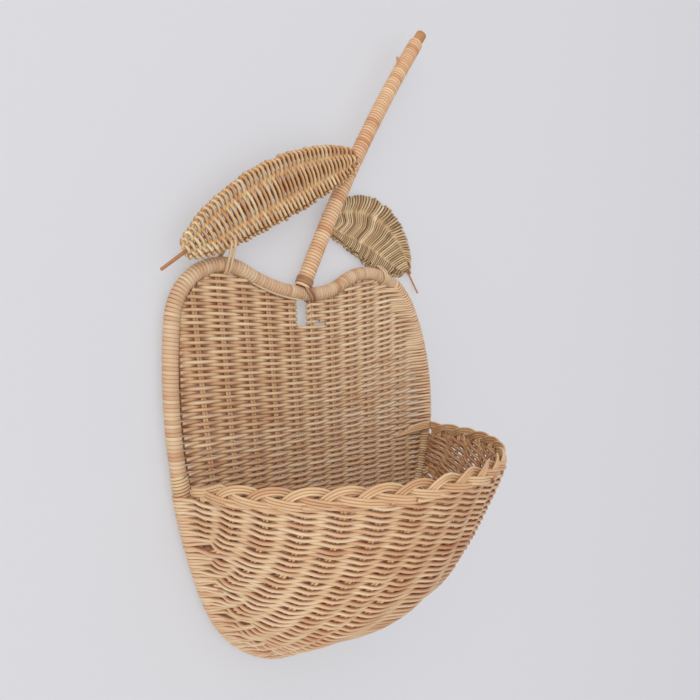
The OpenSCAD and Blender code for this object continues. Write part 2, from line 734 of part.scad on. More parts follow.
function rib_point(leaf, x) = [x, 0, rib_z(leaf, x)];
// The edge rods leave the midrib at the base and come back to it at the tip.
function edge_across(leaf, s) =
    edge_clear
    + (leaf[2] - leaf_edge_d / 2 - leaf_reed_d - edge_clear) * sqrt(max(0, sin(180 * pow(s, leaf[5]))));
function edge_point(leaf, s, side) =
    let (x = leaf_length(leaf) * s)
    [x, 0, rib_z(leaf, x) + side * edge_across(leaf, s)];
// Even steps of the half turn put more points near the blunt ends.
function leaf_share(i) = (1 - cos(180 * i / leaf_steps)) / 2;
function edge_path(leaf, side) =
    [for (i = [edge_start:leaf_steps - edge_start]) edge_point(leaf, leaf_share(i), side)];
module leaf_edge(leaf) {
    color("darkgoldenrod")
        at_leaf(leaf)
            for (side = [-1, 1])
                tube(edge_path(leaf, side), leaf_edge_d / 2, 6, [0, 1, 0]);
}
module leaf_midrib(leaf) {
    reach = leaf_length(leaf) + leaf[4];
    color("sienna")
        at_leaf(leaf)
            tube([for (i = [0:16]) rib_point(leaf, reach * i / 16)], midrib_d / 2, 8, [0, 1, 0]);
}
// Each half of the woven blade lies between the midrib and an edge rod.
function blade_edge(leaf, side) =
    let (path = edge_path(leaf, side), n = len(path))
    [for (i = [0:n - 1])
        let (
            ahead = unit(path[min(i + 1, n - 1)] - path[max(i - 1, 0)]),
            inwards = side * [ahead[2], 0, -ahead[0]],
            p = path[i] + (leaf_edge_d / 2 + fit_gap) * inwards,
            off = max(side * (p[2] - rib_z(leaf, p[0])), rib_clear + fit_gap)
        )
        [p[0], rib_z(leaf, p[0]) + side * off]];
function blade_outline(leaf, side) =
    let (edge = blade_edge(leaf, side))
    concat(edge, [for (p = reversed(edge)) [p[0], rib_z(leaf, p[0]) + side * rib_clear]]);
module leaf_weave(leaf) {
    color("goldenrod")
        difference() {
            at_leaf(leaf)
                translate([0, leaf_t / 2, 0])
                    rotate([90, 0, 0])
                        linear_extrude(height = leaf_t)
                            for (side = [-1, 1])
                                polygon(blade_outline(leaf, side));
            tie_room(leaf);
        }
}

// A tie is two turns of reed in an upright plane, round the hoop and a leaf's edge.
function leaf_world(leaf, p) =
    let (h = leaf_heading(leaf), x = p[0] * cos(h[1]), y = p[0] * sin(h[1]))
    leaf[0] + [x * cos(h[0]) + p[2] * sin(h[0]), y, p[2] * cos(h[0]) - x * sin(h[0])];
function tie_edge(leaf) = leaf_world(leaf, edge_point(leaf, leaf[6], leaf[7]));
function lobe_of(x) = x < 0 ? LEFT[LOBE] : RIGHT[LOBE];
function tie_hoop(x) = [x, 0, upper_z(x, 0)];
function tie_slant(x) =
    let (lobe = lobe_of(x), u = abs(x) - lobe[0])
    lobe[2] / sqrt(lobe[2] * lobe[2] - u * u);
// The reed's path round two circles: the hoop's section and the leaf's bound edge.
function belt(leaf) =
    let (
        edge = tie_edge(leaf),
        hoop = tie_hoop(edge[0]),
        big = bound_r * tie_slant(edge[0]) + tie_d / 2 + fit_gap,
        small = leaf_edge_d / 2 + leaf_reed_d + tie_d / 2,
        span = [edge[1] - hoop[1], edge[2] - hoop[2]],
        aim = atan2(span[1], span[0]),
        half = acos((big - small) / norm(span))
    )
    concat(
        [for (i = [0:6]) let (a = aim - half + 2 * half * i / 6)
            [edge[0], edge[1] + small * cos(a), edge[2] + small * sin(a)]],
        [for (i = [0:10]) let (a = aim + half + (360 - 2 * half) * i / 10)
            [edge[0], hoop[1] + big * cos(a), hoop[2] + big * sin(a)]]
    );
tie_spread = tie_d / 2 + fit_gap;
module leaf_tie(leaf) {
    color("wheat")
        for (side = [-1, 1])
            translate([side * tie_spread, 0, 0])
                tube(belt(leaf), tie_d / 2, 6, [1, 0, 0], true);
}
tie_room_w = 2 * (tie_spread + tie_d / 2 + fit_gap);
module tie_room(leaf) {
    edge = tie_edge(leaf);
    room = leaf_edge_d + 2 * leaf_reed_d + 2 * tie_d + 4 * fit_gap;
    translate(edge - [tie_room_w / 2, leaf_t, room / 2])
        cube([tie_room_w, 2 * leaf_t, room]);
}

back_names = [for (i = [1:2 * side_pairs + 1]) str("back_stakes_", i)];
pocket_names = [for (k = [1:pocket_pairs]) str("pocket_stakes_", k)];

frame_hoop();
hoop_binding_left();
hoop_binding_right();
hoop_turns_right();
hoop_turns_lower();
back_weave();
pocket_weave();
rim_braid();
stem_pole();
stem_binding();
stem_foot_band();
stem_nail();
leaf_edge(LARGE);  // large_leaf_edge
leaf_midrib(LARGE);  // large_leaf_midrib
leaf_weave(LARGE);  // large_leaf_weave
leaf_tie(LARGE);  // large_leaf_tie
leaf_edge(SMALL);  // small_leaf_edge
leaf_midrib(SMALL);  // small_leaf_midrib
leaf_weave(SMALL);  // small_leaf_weave
leaf_tie(SMALL);  // small_leaf_tie
for (i = [1:2 * side_pairs + 1])
    back_stakes(i - side_pairs - 1);
for (k = [1:pocket_pairs])
    pocket_stakes(k);
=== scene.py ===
import json
import math

import bpy
import numpy as np
from mathutils import Matrix

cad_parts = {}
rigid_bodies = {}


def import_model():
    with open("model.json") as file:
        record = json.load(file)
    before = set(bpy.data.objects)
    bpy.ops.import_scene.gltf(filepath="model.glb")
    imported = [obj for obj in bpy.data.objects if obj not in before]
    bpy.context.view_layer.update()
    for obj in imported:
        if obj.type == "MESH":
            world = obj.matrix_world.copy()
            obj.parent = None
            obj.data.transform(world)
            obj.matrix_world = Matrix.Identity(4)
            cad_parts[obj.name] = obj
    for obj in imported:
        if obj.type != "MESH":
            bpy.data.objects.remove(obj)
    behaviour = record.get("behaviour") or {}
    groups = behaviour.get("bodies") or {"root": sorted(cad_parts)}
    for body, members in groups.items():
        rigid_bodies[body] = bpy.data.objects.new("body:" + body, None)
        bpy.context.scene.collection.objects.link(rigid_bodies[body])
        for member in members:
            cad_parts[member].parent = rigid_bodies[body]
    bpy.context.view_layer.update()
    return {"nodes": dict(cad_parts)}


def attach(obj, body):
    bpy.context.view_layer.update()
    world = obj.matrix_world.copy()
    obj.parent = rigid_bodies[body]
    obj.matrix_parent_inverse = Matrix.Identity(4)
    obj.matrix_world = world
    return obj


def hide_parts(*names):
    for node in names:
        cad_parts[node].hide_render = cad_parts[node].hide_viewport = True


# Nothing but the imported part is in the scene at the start.
for leftover in list(bpy.data.objects):
    bpy.data.objects.remove(leftover)
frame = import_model()


# The frame hoop: one rattan pole, steamed and bent into the outline of an apple, its
# ends scarfed together at the bottom. It stays as the CAD piece, in bare pole, and
# shows only where the windings leave a seam. Sizes are in millimetres.
POLE_R, HOOP_STEP = 4.5, 0.5
BOTTOM, BOTTOM_RADIUS, BOTTOM_SHIFT = 270.0, 92.0, 24.0


def half_hoop(half_width, widest, lobe_height, lobe_radius, shift):
    """Arcs from the dip to the bottom: centre x, centre z, radius, first and last angle."""
    reach, rise = half_width + shift, BOTTOM - widest - BOTTOM_RADIUS
    side = (reach**2 + rise**2 - BOTTOM_RADIUS**2) / (2 * (reach - BOTTOM_RADIUS))
    side_x, lobe_z = half_width - side, lobe_height - lobe_radius
    lobe_x = side_x + math.sqrt((side - lobe_radius) ** 2 - (lobe_z + widest) ** 2)
    valley = (lobe_x**2 + lobe_z**2 - lobe_radius**2) / (2 * lobe_height)
    a = math.atan2(lobe_z - valley, lobe_x)
    b = math.atan2(lobe_z + widest, lobe_x - side_x)
    c = math.atan2(BOTTOM_RADIUS - BOTTOM + widest, -shift - side_x)
    return [
        (0, valley, valley, -math.pi / 2, a),
        (lobe_x, lobe_z, lobe_radius, math.pi + a, b),
        (side_x, -widest, side, b, c),
        (-shift, BOTTOM_RADIUS - BOTTOM, BOTTOM_RADIUS, c, -math.pi / 2),
    ]


def half_line(arcs, sign):
    """Points of half the hoop and the directions that point out of it."""
    place, out = [], []
    for i, (x, z, r, a, b) in enumerate(arcs):
        t = np.linspace(a, b, max(6, int(abs(b - a) * r / HOOP_STEP)))[1:]
        ring = np.stack([np.cos(t), np.sin(t)], 1)
        place.append(np.array([x, z]) + r * ring)
        out.append(-ring if i == 0 else ring)
    place, out = np.concatenate(place), np.concatenate(out)
    return place * [sign, 1], out * [sign, 1]


left_arcs = half_hoop(half_width=134, widest=71, lobe_height=22.4, lobe_radius=42.5, shift=-BOTTOM_SHIFT)
right_arcs = half_hoop(half_width=134, widest=97, lobe_height=15.8, lobe_radius=60, shift=BOTTOM_SHIFT)
right_place, right_out = half_line(right_arcs, 1)
left_place, left_out = half_line(left_arcs, -1)
hoop_place = np.concatenate([right_place, left_place[::-1]])
hoop_out = np.concatenate([right_out, left_out[::-1]])
hoop_length = np.concatenate([[0], np.cumsum(np.linalg.norm(np.diff(hoop_place, axis=0), axis=1))])


def hoop_at(length):
    """Places along the hoop and the directions out of it, at lengths from the dip."""
    place = np.stack([np.interp(length, hoop_length, hoop_place[:, i]) for i in (0, 1)], 1)
    out = np.stack([np.interp(length, hoop_length, hoop_out[:, i]) for i in (0, 1)], 1)
    return place, out / np.linalg.norm(out, axis=1, keepdims=True)


def hoop_near(x, z):
    """Length along the hoop of the place nearest to x, z."""
    return hoop_length[np.argmin(np.linalg.norm(hoop_place - [x, z], axis=1))]


def linear(code):
    """An sRGB hex colour as the linear colour that a shader takes."""
    parts = [int(code[i : i + 2], 16) / 255 for i in (1, 3, 5)]
    return [p / 12.92 if p <= 0.04045 else ((p + 0.055) / 1.055) ** 2.4 for p in parts] + [1]


def add(tree, kind, inputs=(), **settings):
    """A new node with its settings, and its inputs set to values or linked to sockets."""
    node = tree.nodes.new(kind)
    for key, value in settings.items():
        setattr(node, key, value)
    for key, value in dict(inputs).items():
        if isinstance(value, bpy.types.NodeSocket):
            tree.links.new(value, node.inputs[key])
        else:
            node.inputs[key].default_value = value
    return node


def rattan(name, pale, mid, deep, painted_shade, roughness=0.5, along=0.03):
    """Rattan whose tone changes from strand to strand and slowly along each one, with its last colour mixed
    in as painted shade by the amount that each point carries.
    """
    material = bpy.data.materials.new(name)
    material.use_nodes = True
    tree = material.node_tree
    shader = tree.nodes["Principled BSDF"]
    place = add(tree, "ShaderNodeTexCoord").outputs["UV"]
    slow = add(tree, "ShaderNodeMapping", {"Vector": place, "Scale": (along, 0.08, 1)})
    patch = add(tree, "ShaderNodeTexNoise", {"Vector": slow.outputs[0], "Scale": 1.0, "Detail": 2.0})
    fine = add(tree, "ShaderNodeMapping", {"Vector": place, "Scale": (0.06, 2.6, 1)})
    fibre = add(tree, "ShaderNodeTexNoise", {"Vector": fine.outputs[0], "Scale": 1.0, "Detail": 3.0})
    tone = add(tree, "ShaderNodeAttribute", attribute_name="tone").outputs["Fac"]
    spread = add(tree, "ShaderNodeMath", {0: patch.outputs[0], 1: 1.1, 2: -0.55}, operation="MULTIPLY_ADD")
    mixed = add(tree, "ShaderNodeMath", {0: tone, 1: spread.outputs[0]}, operation="ADD")
    streak = add(tree, "ShaderNodeMath", {0: fibre.outputs[0], 1: 0.5, 2: -0.25}, operation="MULTIPLY_ADD")
    level = add(tree, "ShaderNodeMath", {0: mixed.outputs[0], 1: streak.outputs[0]}, operation="ADD")
    ramp = add(tree, "ShaderNodeValToRGB", {"Fac": level.outputs[0]})
    ramp.color_ramp.elements[0].color = linear(pale)
    ramp.color_ramp.elements[1].color = linear(deep)
    ramp.color_ramp.elements.new(0.5).color = linear(mid)
    # Painted shade: each point carries how much of the shade colour it gets, standing in for the shade the
    # strands cast on each other.
    painted_shade_fac = add(tree, "ShaderNodeAttribute", attribute_name="painted_shade").outputs["Fac"]
    colour = add(tree, "ShaderNodeMix", {"Factor": painted_shade_fac, 6: ramp.outputs[0], 7: linear(painted_shade)},
                 data_type="RGBA")
    bump = add(tree, "ShaderNodeBump", {"Height": fibre.outputs[0], "Strength": 0.25, "Distance": 0.0003})
    tree.links.new(colour.outputs[2], shader.inputs["Base Color"])
    tree.links.new(bump.outputs[0], shader.inputs["Normal"])
    shader.inputs["Roughness"].default_value = roughness
    shader.inputs["Specular IOR Level"].default_value = 0.35
    return material


# Bare pole: an even, slightly darker tan with fine lengthwise fibres.
bare_pole = rattan("bare_rattan_pole", "#d4ac80", "#b98858", "#8f5f38", "#8a5636", roughness=0.6)
frame["nodes"]["frame_hoop"].data.materials.clear()
frame["nodes"]["frame_hoop"].data.materials.append(bare_pole)


# The bindings of the hoop: a flat strip of rattan peel wound edge to edge round the
# pole, from the dip down the left side to the rim and over the right lobe.
# The strip is smooth and pale, and painted shade darkens its seams.
rng = np.random.default_rng(11)
BINDING_T, STRIP_W = 0.95, 2.7
STRIP_HALF, STRIP_PAINTED_SHADE = 0.52 * STRIP_W, 0.8


def strand(points, radius, tone, sides=8, up=None, thick=None, swing=None, edge=0.75):
    """Rings of points round a path: a round reed, or a flat strip that lies square to up.

    A reed that swings to and fro through stakes gets painted shade where it lies behind, and a
    reed or a strip gets painted shade along the sides where it meets its neighbours;
    edge sets how much for a strip or a reed that does not swing.
    """
    points = np.asarray(points, float)
    ahead = np.gradient(points, axis=0)
    ahead /= np.linalg.norm(ahead, axis=1, keepdims=True)
    if up is None:
        start = np.eye(3)[np.argmin(np.abs(ahead[0]))]
        side = np.zeros_like(points)
        side[0] = np.cross(ahead[0], start)
        side[0] /= np.linalg.norm(side[0])
        for i in range(1, len(points)):
            turned = side[i - 1] - ahead[i] * np.dot(ahead[i], side[i - 1])
            side[i] = turned / np.linalg.norm(turned)
        over = np.cross(ahead, side)
    else:
        over = up - ahead * np.sum(up * ahead, axis=1, keepdims=True)
        over /= np.linalg.norm(over, axis=1, keepdims=True)
        side = np.cross(over, ahead)
    turn = 2 * np.pi * (np.arange(sides) + 0.5) / sides
    c, s = np.cos(turn), np.sin(turn)
    # Painted shade: how much of the shade colour each point of the rings gets.
    painted_shade = np.zeros((len(points), sides))
    if thick is not None:
        # A strip is squarer than an ellipse.
        c, s = np.sign(c) * np.abs(c) ** 0.55, np.sign(s) * np.abs(s) ** 0.8
        painted_shade += edge * np.abs(np.cos(turn)) ** 5
    elif swing is not None:
        swing = np.asarray(swing)[:, None]
        beside = np.where(swing == 0, edge, 0.3 + 0.45 * np.abs(swing))
        painted_shade += beside * np.abs(c) ** 4 + 0.65 * np.clip(-swing * s, 0, 1)
    wide = np.broadcast_to(radius, len(points))[:, None] * c
    tall = np.broadcast_to(radius if thick is None else thick, len(points))[:, None] * s
    rings = points[:, None] + wide[..., None] * side[:, None] + tall[..., None] * over[:, None]
    run = np.concatenate([[0], np.cumsum(np.linalg.norm(np.diff(points, axis=0), axis=1))])
    return rings, run, np.broadcast_to(tone, len(points)), np.max(radius), np.clip(painted_shade, 0, 1)


def make_piece(name, strands, material, *nodes):
    """One mesh of many strands, which stands for the CAD nodes named after it."""
    grain_shift, metres = 400, 0.001
    corners, quads, maps, tones, painted_shades = [], [], [], [], []
    first = 0
    for rings, run, tone, radius, painted_shade in strands:
        n, sides = rings.shape[:2]
        i, k = np.meshgrid(np.arange(n - 1), np.arange(sides), indexing="ij")
        a, b = i * sides + k, i * sides + (k + 1) % sides
        walls = np.stack([a, b, b + sides, a + sides], -1).reshape(-1, 4)
        start = run[0] + grain_shift * rng.random()
        ring_u, ring_v = start + run[i], k * 2 * np.pi * radius / sides
        next_u, next_v = start + run[i + 1], (k + 1) * 2 * np.pi * radius / sides
        uv = np.stack([np.stack([ring_u, ring_v], -1), np.stack([ring_u, next_v], -1),
                       np.stack([next_u, next_v], -1), np.stack([next_u, ring_v], -1)], 2).reshape(-1, 4, 2)
        fan = np.array([[0, 2 * j + 1, 2 * j + 2, 2 * j + 3] for j in range(sides // 2 - 1)])
        caps = np.concatenate([fan[:, ::-1], (n - 1) * sides + fan])
        corners.append(rings.reshape(-1, 3))
        quads.append(first + np.concatenate([walls, caps]))
        maps.append(np.concatenate([uv, np.full((len(caps), 4, 2), start)]))
        tones.append(np.repeat(tone, sides))
        painted_shades.append(painted_shade.ravel())
        first += n * sides
    corners, quads, maps, tones, painted_shades = map(np.concatenate, (corners, quads, maps, tones, painted_shades))
    mesh = bpy.data.meshes.new(name)
    mesh.vertices.add(len(corners))
    mesh.vertices.foreach_set("co", (corners * metres).ravel())
    mesh.loops.add(quads.size)
    mesh.loops.foreach_set("vertex_index", quads.ravel().astype(np.int32))
    mesh.polygons.add(len(quads))
    mesh.polygons.foreach_set("loop_start", np.arange(0, quads.size, 4, dtype=np.int32))
    mesh.polygons.foreach_set("use_smooth", np.ones(len(quads), bool))
    mesh.uv_layers.new(name="UVMap").data.foreach_set("uv", maps.ravel())
    mesh.attributes.new("tone", "FLOAT", "POINT").data.foreach_set("value", tones)
    # The painted shade of each point, for the material to mix in.
    mesh.attributes.new("painted_shade", "FLOAT", "POINT").data.foreach_set("value", painted_shades)
    mesh.update(calc_edges=True)
    mesh.validate()
    mesh.materials.append(material)
    piece = bpy.data.objects.new(name, mesh)
    bpy.context.scene.collection.objects.link(piece)
    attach(piece, "root")
    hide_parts(*nodes)


def wound(first, last, pitch, radius, per_turn):
    """A path wound round the hoop, the directions away from the pole, and its turns."""
    length = np.linspace(first, last, int(abs(last - first) / pitch * per_turn))
    turn = 2 * np.pi * np.abs(length - first) / pitch
    place, out = hoop_at(length)
    away = np.stack([out[:, 0] * np.cos(turn), -np.sin(turn), out[:, 1] * np.cos(turn)], 1)
    path = np.stack([place[:, 0], 0 * turn, place[:, 1]], 1) + radius * away
    return path, away, turn / (2 * np.pi)


def turn_tones(turns, middle, spread):
    """A tone for each turn of a winding."""
    steps = middle + spread * rng.standard_normal(int(turns[-1]) + 3)
    return np.interp(turns, np.arange(len(steps)), steps)


# Smooth peel: pale straw with a soft shine, its tone changing slowly along the strip, with red-brown painted
# shade in its seams.
smooth_peel = rattan("smooth_rattan_peel", "#ddc5a2", "#cfad88", "#b98962", "#a05f42",
                     roughness=0.42, along=0.02)
RIM_Z, BRAID_H = -125.5, 15.0
left_rim = hoop_near(-126, RIM_Z + BRAID_H / 2 + 1)
left_wind, left_away, left_turns = wound(hoop_length[-1], left_rim, STRIP_W, POLE_R + BINDING_T / 2, 22)
left_tones = turn_tones(left_turns, 0.48, 0.16)
# A loose end of reed lies along the lower front of the pole, from the left lobe to the dip.
END_STEPS, END_R, END_TURN = 30, 6.2, math.radians(212)
place, out = hoop_at(np.linspace(hoop_near(-64, 8), hoop_near(-13, 0), END_STEPS))
loose_end = np.stack([place[:, 0], np.full(END_STEPS, END_R * math.sin(END_TURN)), place[:, 1]], 1)
loose_end += END_R * math.cos(END_TURN) * np.stack([out[:, 0], np.zeros(END_STEPS), out[:, 1]], 1)
end_radius = 0.85 * np.interp(np.arange(END_STEPS), [0, 4, 25, 29], [0.6, 1, 1, 0.3])
make_piece("hoop_binding_left_strip",
           [strand(loose_end, end_radius, 0.2),
            strand(left_wind, STRIP_HALF, left_tones, 10, left_away, BINDING_T / 2, edge=STRIP_PAINTED_SHADE)],
           smooth_peel, "hoop_binding_left")
RIGHT_END = math.radians(56)
lobe_x, lobe_z, lobe_radius = right_arcs[1][:3]
right_lobe_end = hoop_near(lobe_x + lobe_radius * math.cos(RIGHT_END),
                           lobe_z + lobe_radius * math.sin(RIGHT_END))
right_wind, right_away, right_turns = wound(0, right_lobe_end, STRIP_W, POLE_R + BINDING_T / 2, 22)
# One turn to the right of the dip is darker than the rest.
DARK_TURN_X, DARK_TURN_W = 24, 2.5
right_tones = turn_tones(right_turns, 0.4, 0.16)
right_tones += 0.7 * np.exp(-(((right_wind[:, 0] - DARK_TURN_X) / DARK_TURN_W) ** 2))
make_piece("hoop_binding_right_strip",
           [strand(right_wind, STRIP_HALF, right_tones, 10, right_away, BINDING_T / 2, edge=STRIP_PAINTED_SHADE)],
           smooth_peel, "hoop_binding_right")


# The turns of the weaving reed round the pole: where the back's rows reach the right
# side, and below the rim on both sides, the round reed goes round the pole and comes
# back into the weave. The turns lie close together.
WEAVER_R, TURN_PITCH, TURN_AT = 1.05, 2.2, POLE_R + 0.7
# Round core reed: straw and honey strands with some tan ones, and red-brown painted shade where rows lie
# behind the stakes or meet their neighbours.
core_reed = rattan("round_core_reed", "#e8d5b2", "#d7b68e", "#b6835a", "#a54e2f", roughness=0.5)
right_rim = hoop_near(133, RIM_Z)
path, _, turns = wound(right_lobe_end, right_rim, TURN_PITCH, TURN_AT, 18)
make_piece("hoop_turns_right_reed", [strand(path, WEAVER_R, turn_tones(turns, 0.45, 0.16), 8)],
           core_reed, "hoop_turns_right")
path, _, turns = wound(right_rim, left_rim, TURN_PITCH, TURN_AT, 16)
make_piece("hoop_turns_lower_reed", [strand(path, WEAVER_R, turn_tones(turns, 0.5, 0.16), 6)],
           core_reed, "hoop_turns_lower")


# The stakes of the back: eleven pairs of thin rods side by side, from the hoop's upper
# run to its lower run, a little closer together at the bottom. They show as pale
# ladders between the rows that cross them.
STAKE_R, STAKE_INSET, STAKE_SWAY, STAKE_FOOT_Z = 1.0, 4.6, 0.25, -240
ROD_SHIFT, STAKE_TONE, STAKE_SPREAD = STAKE_R + 0.08, 0.35, 0.15
TOP_PITCH, PITCH_LOSS, PAIR_SHIFT = 21.9, 0.0005919, 3.5


def run_z(arcs, x, inset, upper):
    """Height of half the hoop's upper or lower run, set inwards, at a place across."""
    for i in ((0, 1, 2) if upper else (3, 2)):
        cx, cz, r, a, b = arcs[i]
        r = r + inset if i == 0 else r - inset
        ends = sorted((cx + r * math.cos(a), cx + r * math.cos(b)))
        if ends[0] - 0.01 <= x <= ends[1] + 0.01 or (i == 2 and x <= cx + r):
            rise = math.sqrt(max(0, r * r - (x - cx) ** 2))
            return cz + (rise if upper and i > 0 else -rise)
    return None


def upper_z(x, inset):
    """Height of the hoop's upper run, set inwards, at a place across."""
    return run_z(left_arcs if x < 0 else right_arcs, abs(x), inset, True)


def lower_z(x, inset):
    """Height of the hoop's lower run, set inwards, at a place across."""
    left = x < -BOTTOM_SHIFT
    return run_z(left_arcs if left else right_arcs, -x if left else x, inset, False)


def stake_x(pair, z):
    """Middle of a stake pair of the back at a height."""
    return (pair * TOP_PITCH - PAIR_SHIFT) * (1 + PITCH_LOSS * z)


# Pale stake reed: straw-coloured and dull, so that the ladders stay light in the shade.
pale_stake = rattan("pale_stake_reed", "#f2dab2", "#e8c494", "#d6a470", "#9c5236", roughness=0.55)
for pair in range(-5, 6):
    rods = []
    for side in (-1, 1):
        shift = side * ROD_SHIFT
        top = upper_z(stake_x(pair, 0) + shift, STAKE_INSET)
        foot = lower_z(stake_x(pair, STAKE_FOOT_Z) + shift, STAKE_INSET)
        heights = np.linspace(foot, top, 24)
        sway = STAKE_SWAY * np.sin(heights / 31 + pair)
        rods.append(strand(np.stack([stake_x(pair, heights) + shift + sway, 0 * heights, heights], 1),
                           STAKE_R, STAKE_TONE + STAKE_SPREAD * rng.random(), 8))
    make_piece(f"back_stakes_{pair + 6}_rods", rods, pale_stake, f"back_stakes_{pair + 6}")


# The woven back: rows of round reed in plain weave, in front of one stake pair and
# behind the next, the next row the other way about. The rows hang a little towards the
# middle. A gap left of the middle pair is for hanging, and a slit lies right of it.
ROW_PITCH, BACK_INSET, ROW_R = 2.2, 5.5, 1.4
SWING = STAKE_R + ROW_R - 0.1
GAP_LEFT, GAP_RIGHT, GAP_FOOT = -22, -6.4, -23.8
SLIT_LEFT, SLIT_RIGHT, SLIT_FOOT, SLIT_TOP = -1, 10.5, -25, -21.4
ROWS_FOOT, ROWS_TOP, ROW_STEP, SHORTEST, WRAP_R = -263.5, 17, 0.5, 8, 5.75
SAG_FROM, SAG_OVER = -125, 60
row_x = np.arange(-140, 140.1, ROW_STEP)
row_tops = np.array([-999 if upper_z(x, BACK_INSET) is None else upper_z(x, BACK_INSET) for x in row_x])
row_feet = np.array([999 if lower_z(x, BACK_INSET) is None else lower_z(x, BACK_INSET) for x in row_x])
row_slope = np.interp(row_x, [-130, -90, -40, 0, 40, 80, 110, 130],
                      [-0.04, -0.07, -0.08, 0, 0.13, 0.16, 0.15, 0.08])
row_sag = np.cumsum(row_slope) * ROW_STEP
row_sag -= np.interp(0, row_x, row_sag)


def wrap_round(length, turns):
    """Points round the pole at a length along the hoop: -90 is its front and 0 its outside."""
    place, out = hoop_at(np.array([length]))
    turn = np.radians(turns)
    away = np.stack([out[0, 0] * np.cos(turn), np.sin(turn), out[0, 1] * np.cos(turn)], 1)
    return np.array([place[0, 0], 0, place[0, 1]]) + WRAP_R * away


def smooth_path(points, step, passes):
    """The path with even steps and its corners eased."""
    run = np.concatenate([[0], np.cumsum(np.linalg.norm(np.diff(points, axis=0), axis=1))])
    even = np.linspace(0, run[-1], max(4, int(run[-1] / step)))
    path = np.stack([np.interp(even, run, points[:, i]) for i in range(3)], 1)
    for _ in range(passes):
        path[1:-1] = (path[:-2] + 2 * path[1:-1] + path[2:]) / 4
    return path


def stretches(inside):
    """First and last index of each run of true values."""
    edges = np.flatnonzero(np.diff(np.concatenate([[0], inside.astype(int), [0]])))
    return [(a, b - 1) for a, b in zip(edges[::2], edges[1::2])]


right_run = np.linspace(right_lobe_end, right_rim, 400)
right_run_z = hoop_at(right_run)[0][:, 1]
rows, gap_ends = [], {1: [], -1: []}
for j, height in enumerate(np.arange(ROWS_FOOT, ROWS_TOP, ROW_PITCH)):
    tone = 0.48 + 0.09 * rng.standard_normal()
    lift, phase, wave = 0.08 * rng.standard_normal(), 6.28 * rng.random(), 70 + 60 * rng.random()
    z = height + lift + 0.15 * np.sin(2 * np.pi * row_x / wave + phase)
    z += row_sag * min(1, max(0, (height - SAG_FROM) / SAG_OVER))
    inside = (row_feet < z) & (z < row_tops)
    inside &= ~((z > GAP_FOOT) & (row_x > GAP_LEFT) & (row_x < GAP_RIGHT))
    inside &= ~((z > SLIT_FOOT) & (z < SLIT_TOP) & (row_x > SLIT_LEFT) & (row_x < SLIT_RIGHT))
    for first, last in stretches(inside):
        if last - first < SHORTEST:
            continue
        x = row_x[first : last + 1]
        swing = np.cos(np.pi * (x / (1 + PITCH_LOSS * height) + PAIR_SHIFT) / TOP_PITCH)
        swing = np.sign(swing) * np.abs(swing) ** 1.6 * (1 if j % 2 else -1)
        path = np.stack([x, SWING * swing, z[first : last + 1]], 1)
        if x[-1] > 60 and right_run_z[-1] < path[-1, 2] < right_run_z[0] - 1:
            length = np.interp(-path[-1, 2], -right_run_z, right_run)
            end = wrap_round(length, [-112, -85, -60, -30, 0, 30, 60, 90])
            path = np.concatenate([path[x < x[-1] - 9], end])
        elif abs(x[-1] - GAP_LEFT) < 1:
            gap_ends[1].append(path[-1])
        if abs(x[0] - GAP_RIGHT) < 1:
            gap_ends[-1].append(path[0])
        path = smooth_path(path, 1.9, 1)
        front = np.broadcast_to([0.0, -1.0, 0.0], path.shape)
        # The rows are darker towards the left and lighter towards the right, and each gets painted shade
        # where it lies behind a stake pair.
        tones = tone + np.interp(path[:, 0], [-105, -70, 0, 80], [0.07, 0.06, -0.07, -0.13])
        rows.append(strand(path, ROW_R * (1 + 0.04 * rng.standard_normal()), tones, 8, front,
                           swing=-path[:, 1] / SWING))
for side, ends in gap_ends.items():
    for one, other in zip(ends[::2], ends[1::2]):
        turn = np.linspace(-np.pi / 2, np.pi / 2, 9)
        middle, reach = (one + other) / 2, (other - one) / 2
        path = middle + np.sin(turn)[:, None] * reach + np.cos(turn)[:, None] * [1.5 * side, 0, 0]
        rows.append(strand(path, ROW_R * 0.95, 0.4, 8))
half = len(rows) // 2
make_piece("back_weave_lower_rows", rows[:half], core_reed, "back_weave")
make_piece("back_weave_upper_rows", rows[half:], core_reed, "back_weave")


# The stakes of the pocket: pairs of thin rods, with a short pair beside the first and
# the last one. Each starts at its foot on the hoop, swells out along the belly and
# climbs to the rim, where it runs into the plait.
SEAT, WALL_T, REACH, DEPTH, TAPER = 6.9, 7.2, 2.5, 143.0, 72.0
BELLY_LOW, BELLY_FULL = 7.2, 1.67
LAST_PAIR, PAIR_TURN, PAIR_EASE, INTO_RIM = 7, 10.55, 0.9, 8
FOOT_TURN, FOOT_LOSS, FOOT_LEAST = 12, 0.72, 0.22
POCKET_TOP = RIM_Z - BRAID_H / 2 - 0.15
LOWEST = -BOTTOM - REACH + WALL_T / 2


def hoop_sides(z, out):
    """Left and right edge of the hoop at a height below its widest, set outwards."""
    edges = []
    for arcs in (left_arcs, right_arcs):
        (sx, sz, sr, _, turn), (bx, bz, br) = arcs[2], arcs[3][:3]
        if z > bz + (br + out) * math.sin(turn):
            edges.append(sx + math.sqrt((sr + out) ** 2 - (z - sz) ** 2))
        else:
            edges.append(bx + math.sqrt(max(0, (br + out) ** 2 - (z - bz) ** 2)))
    return -edges[0], edges[1]


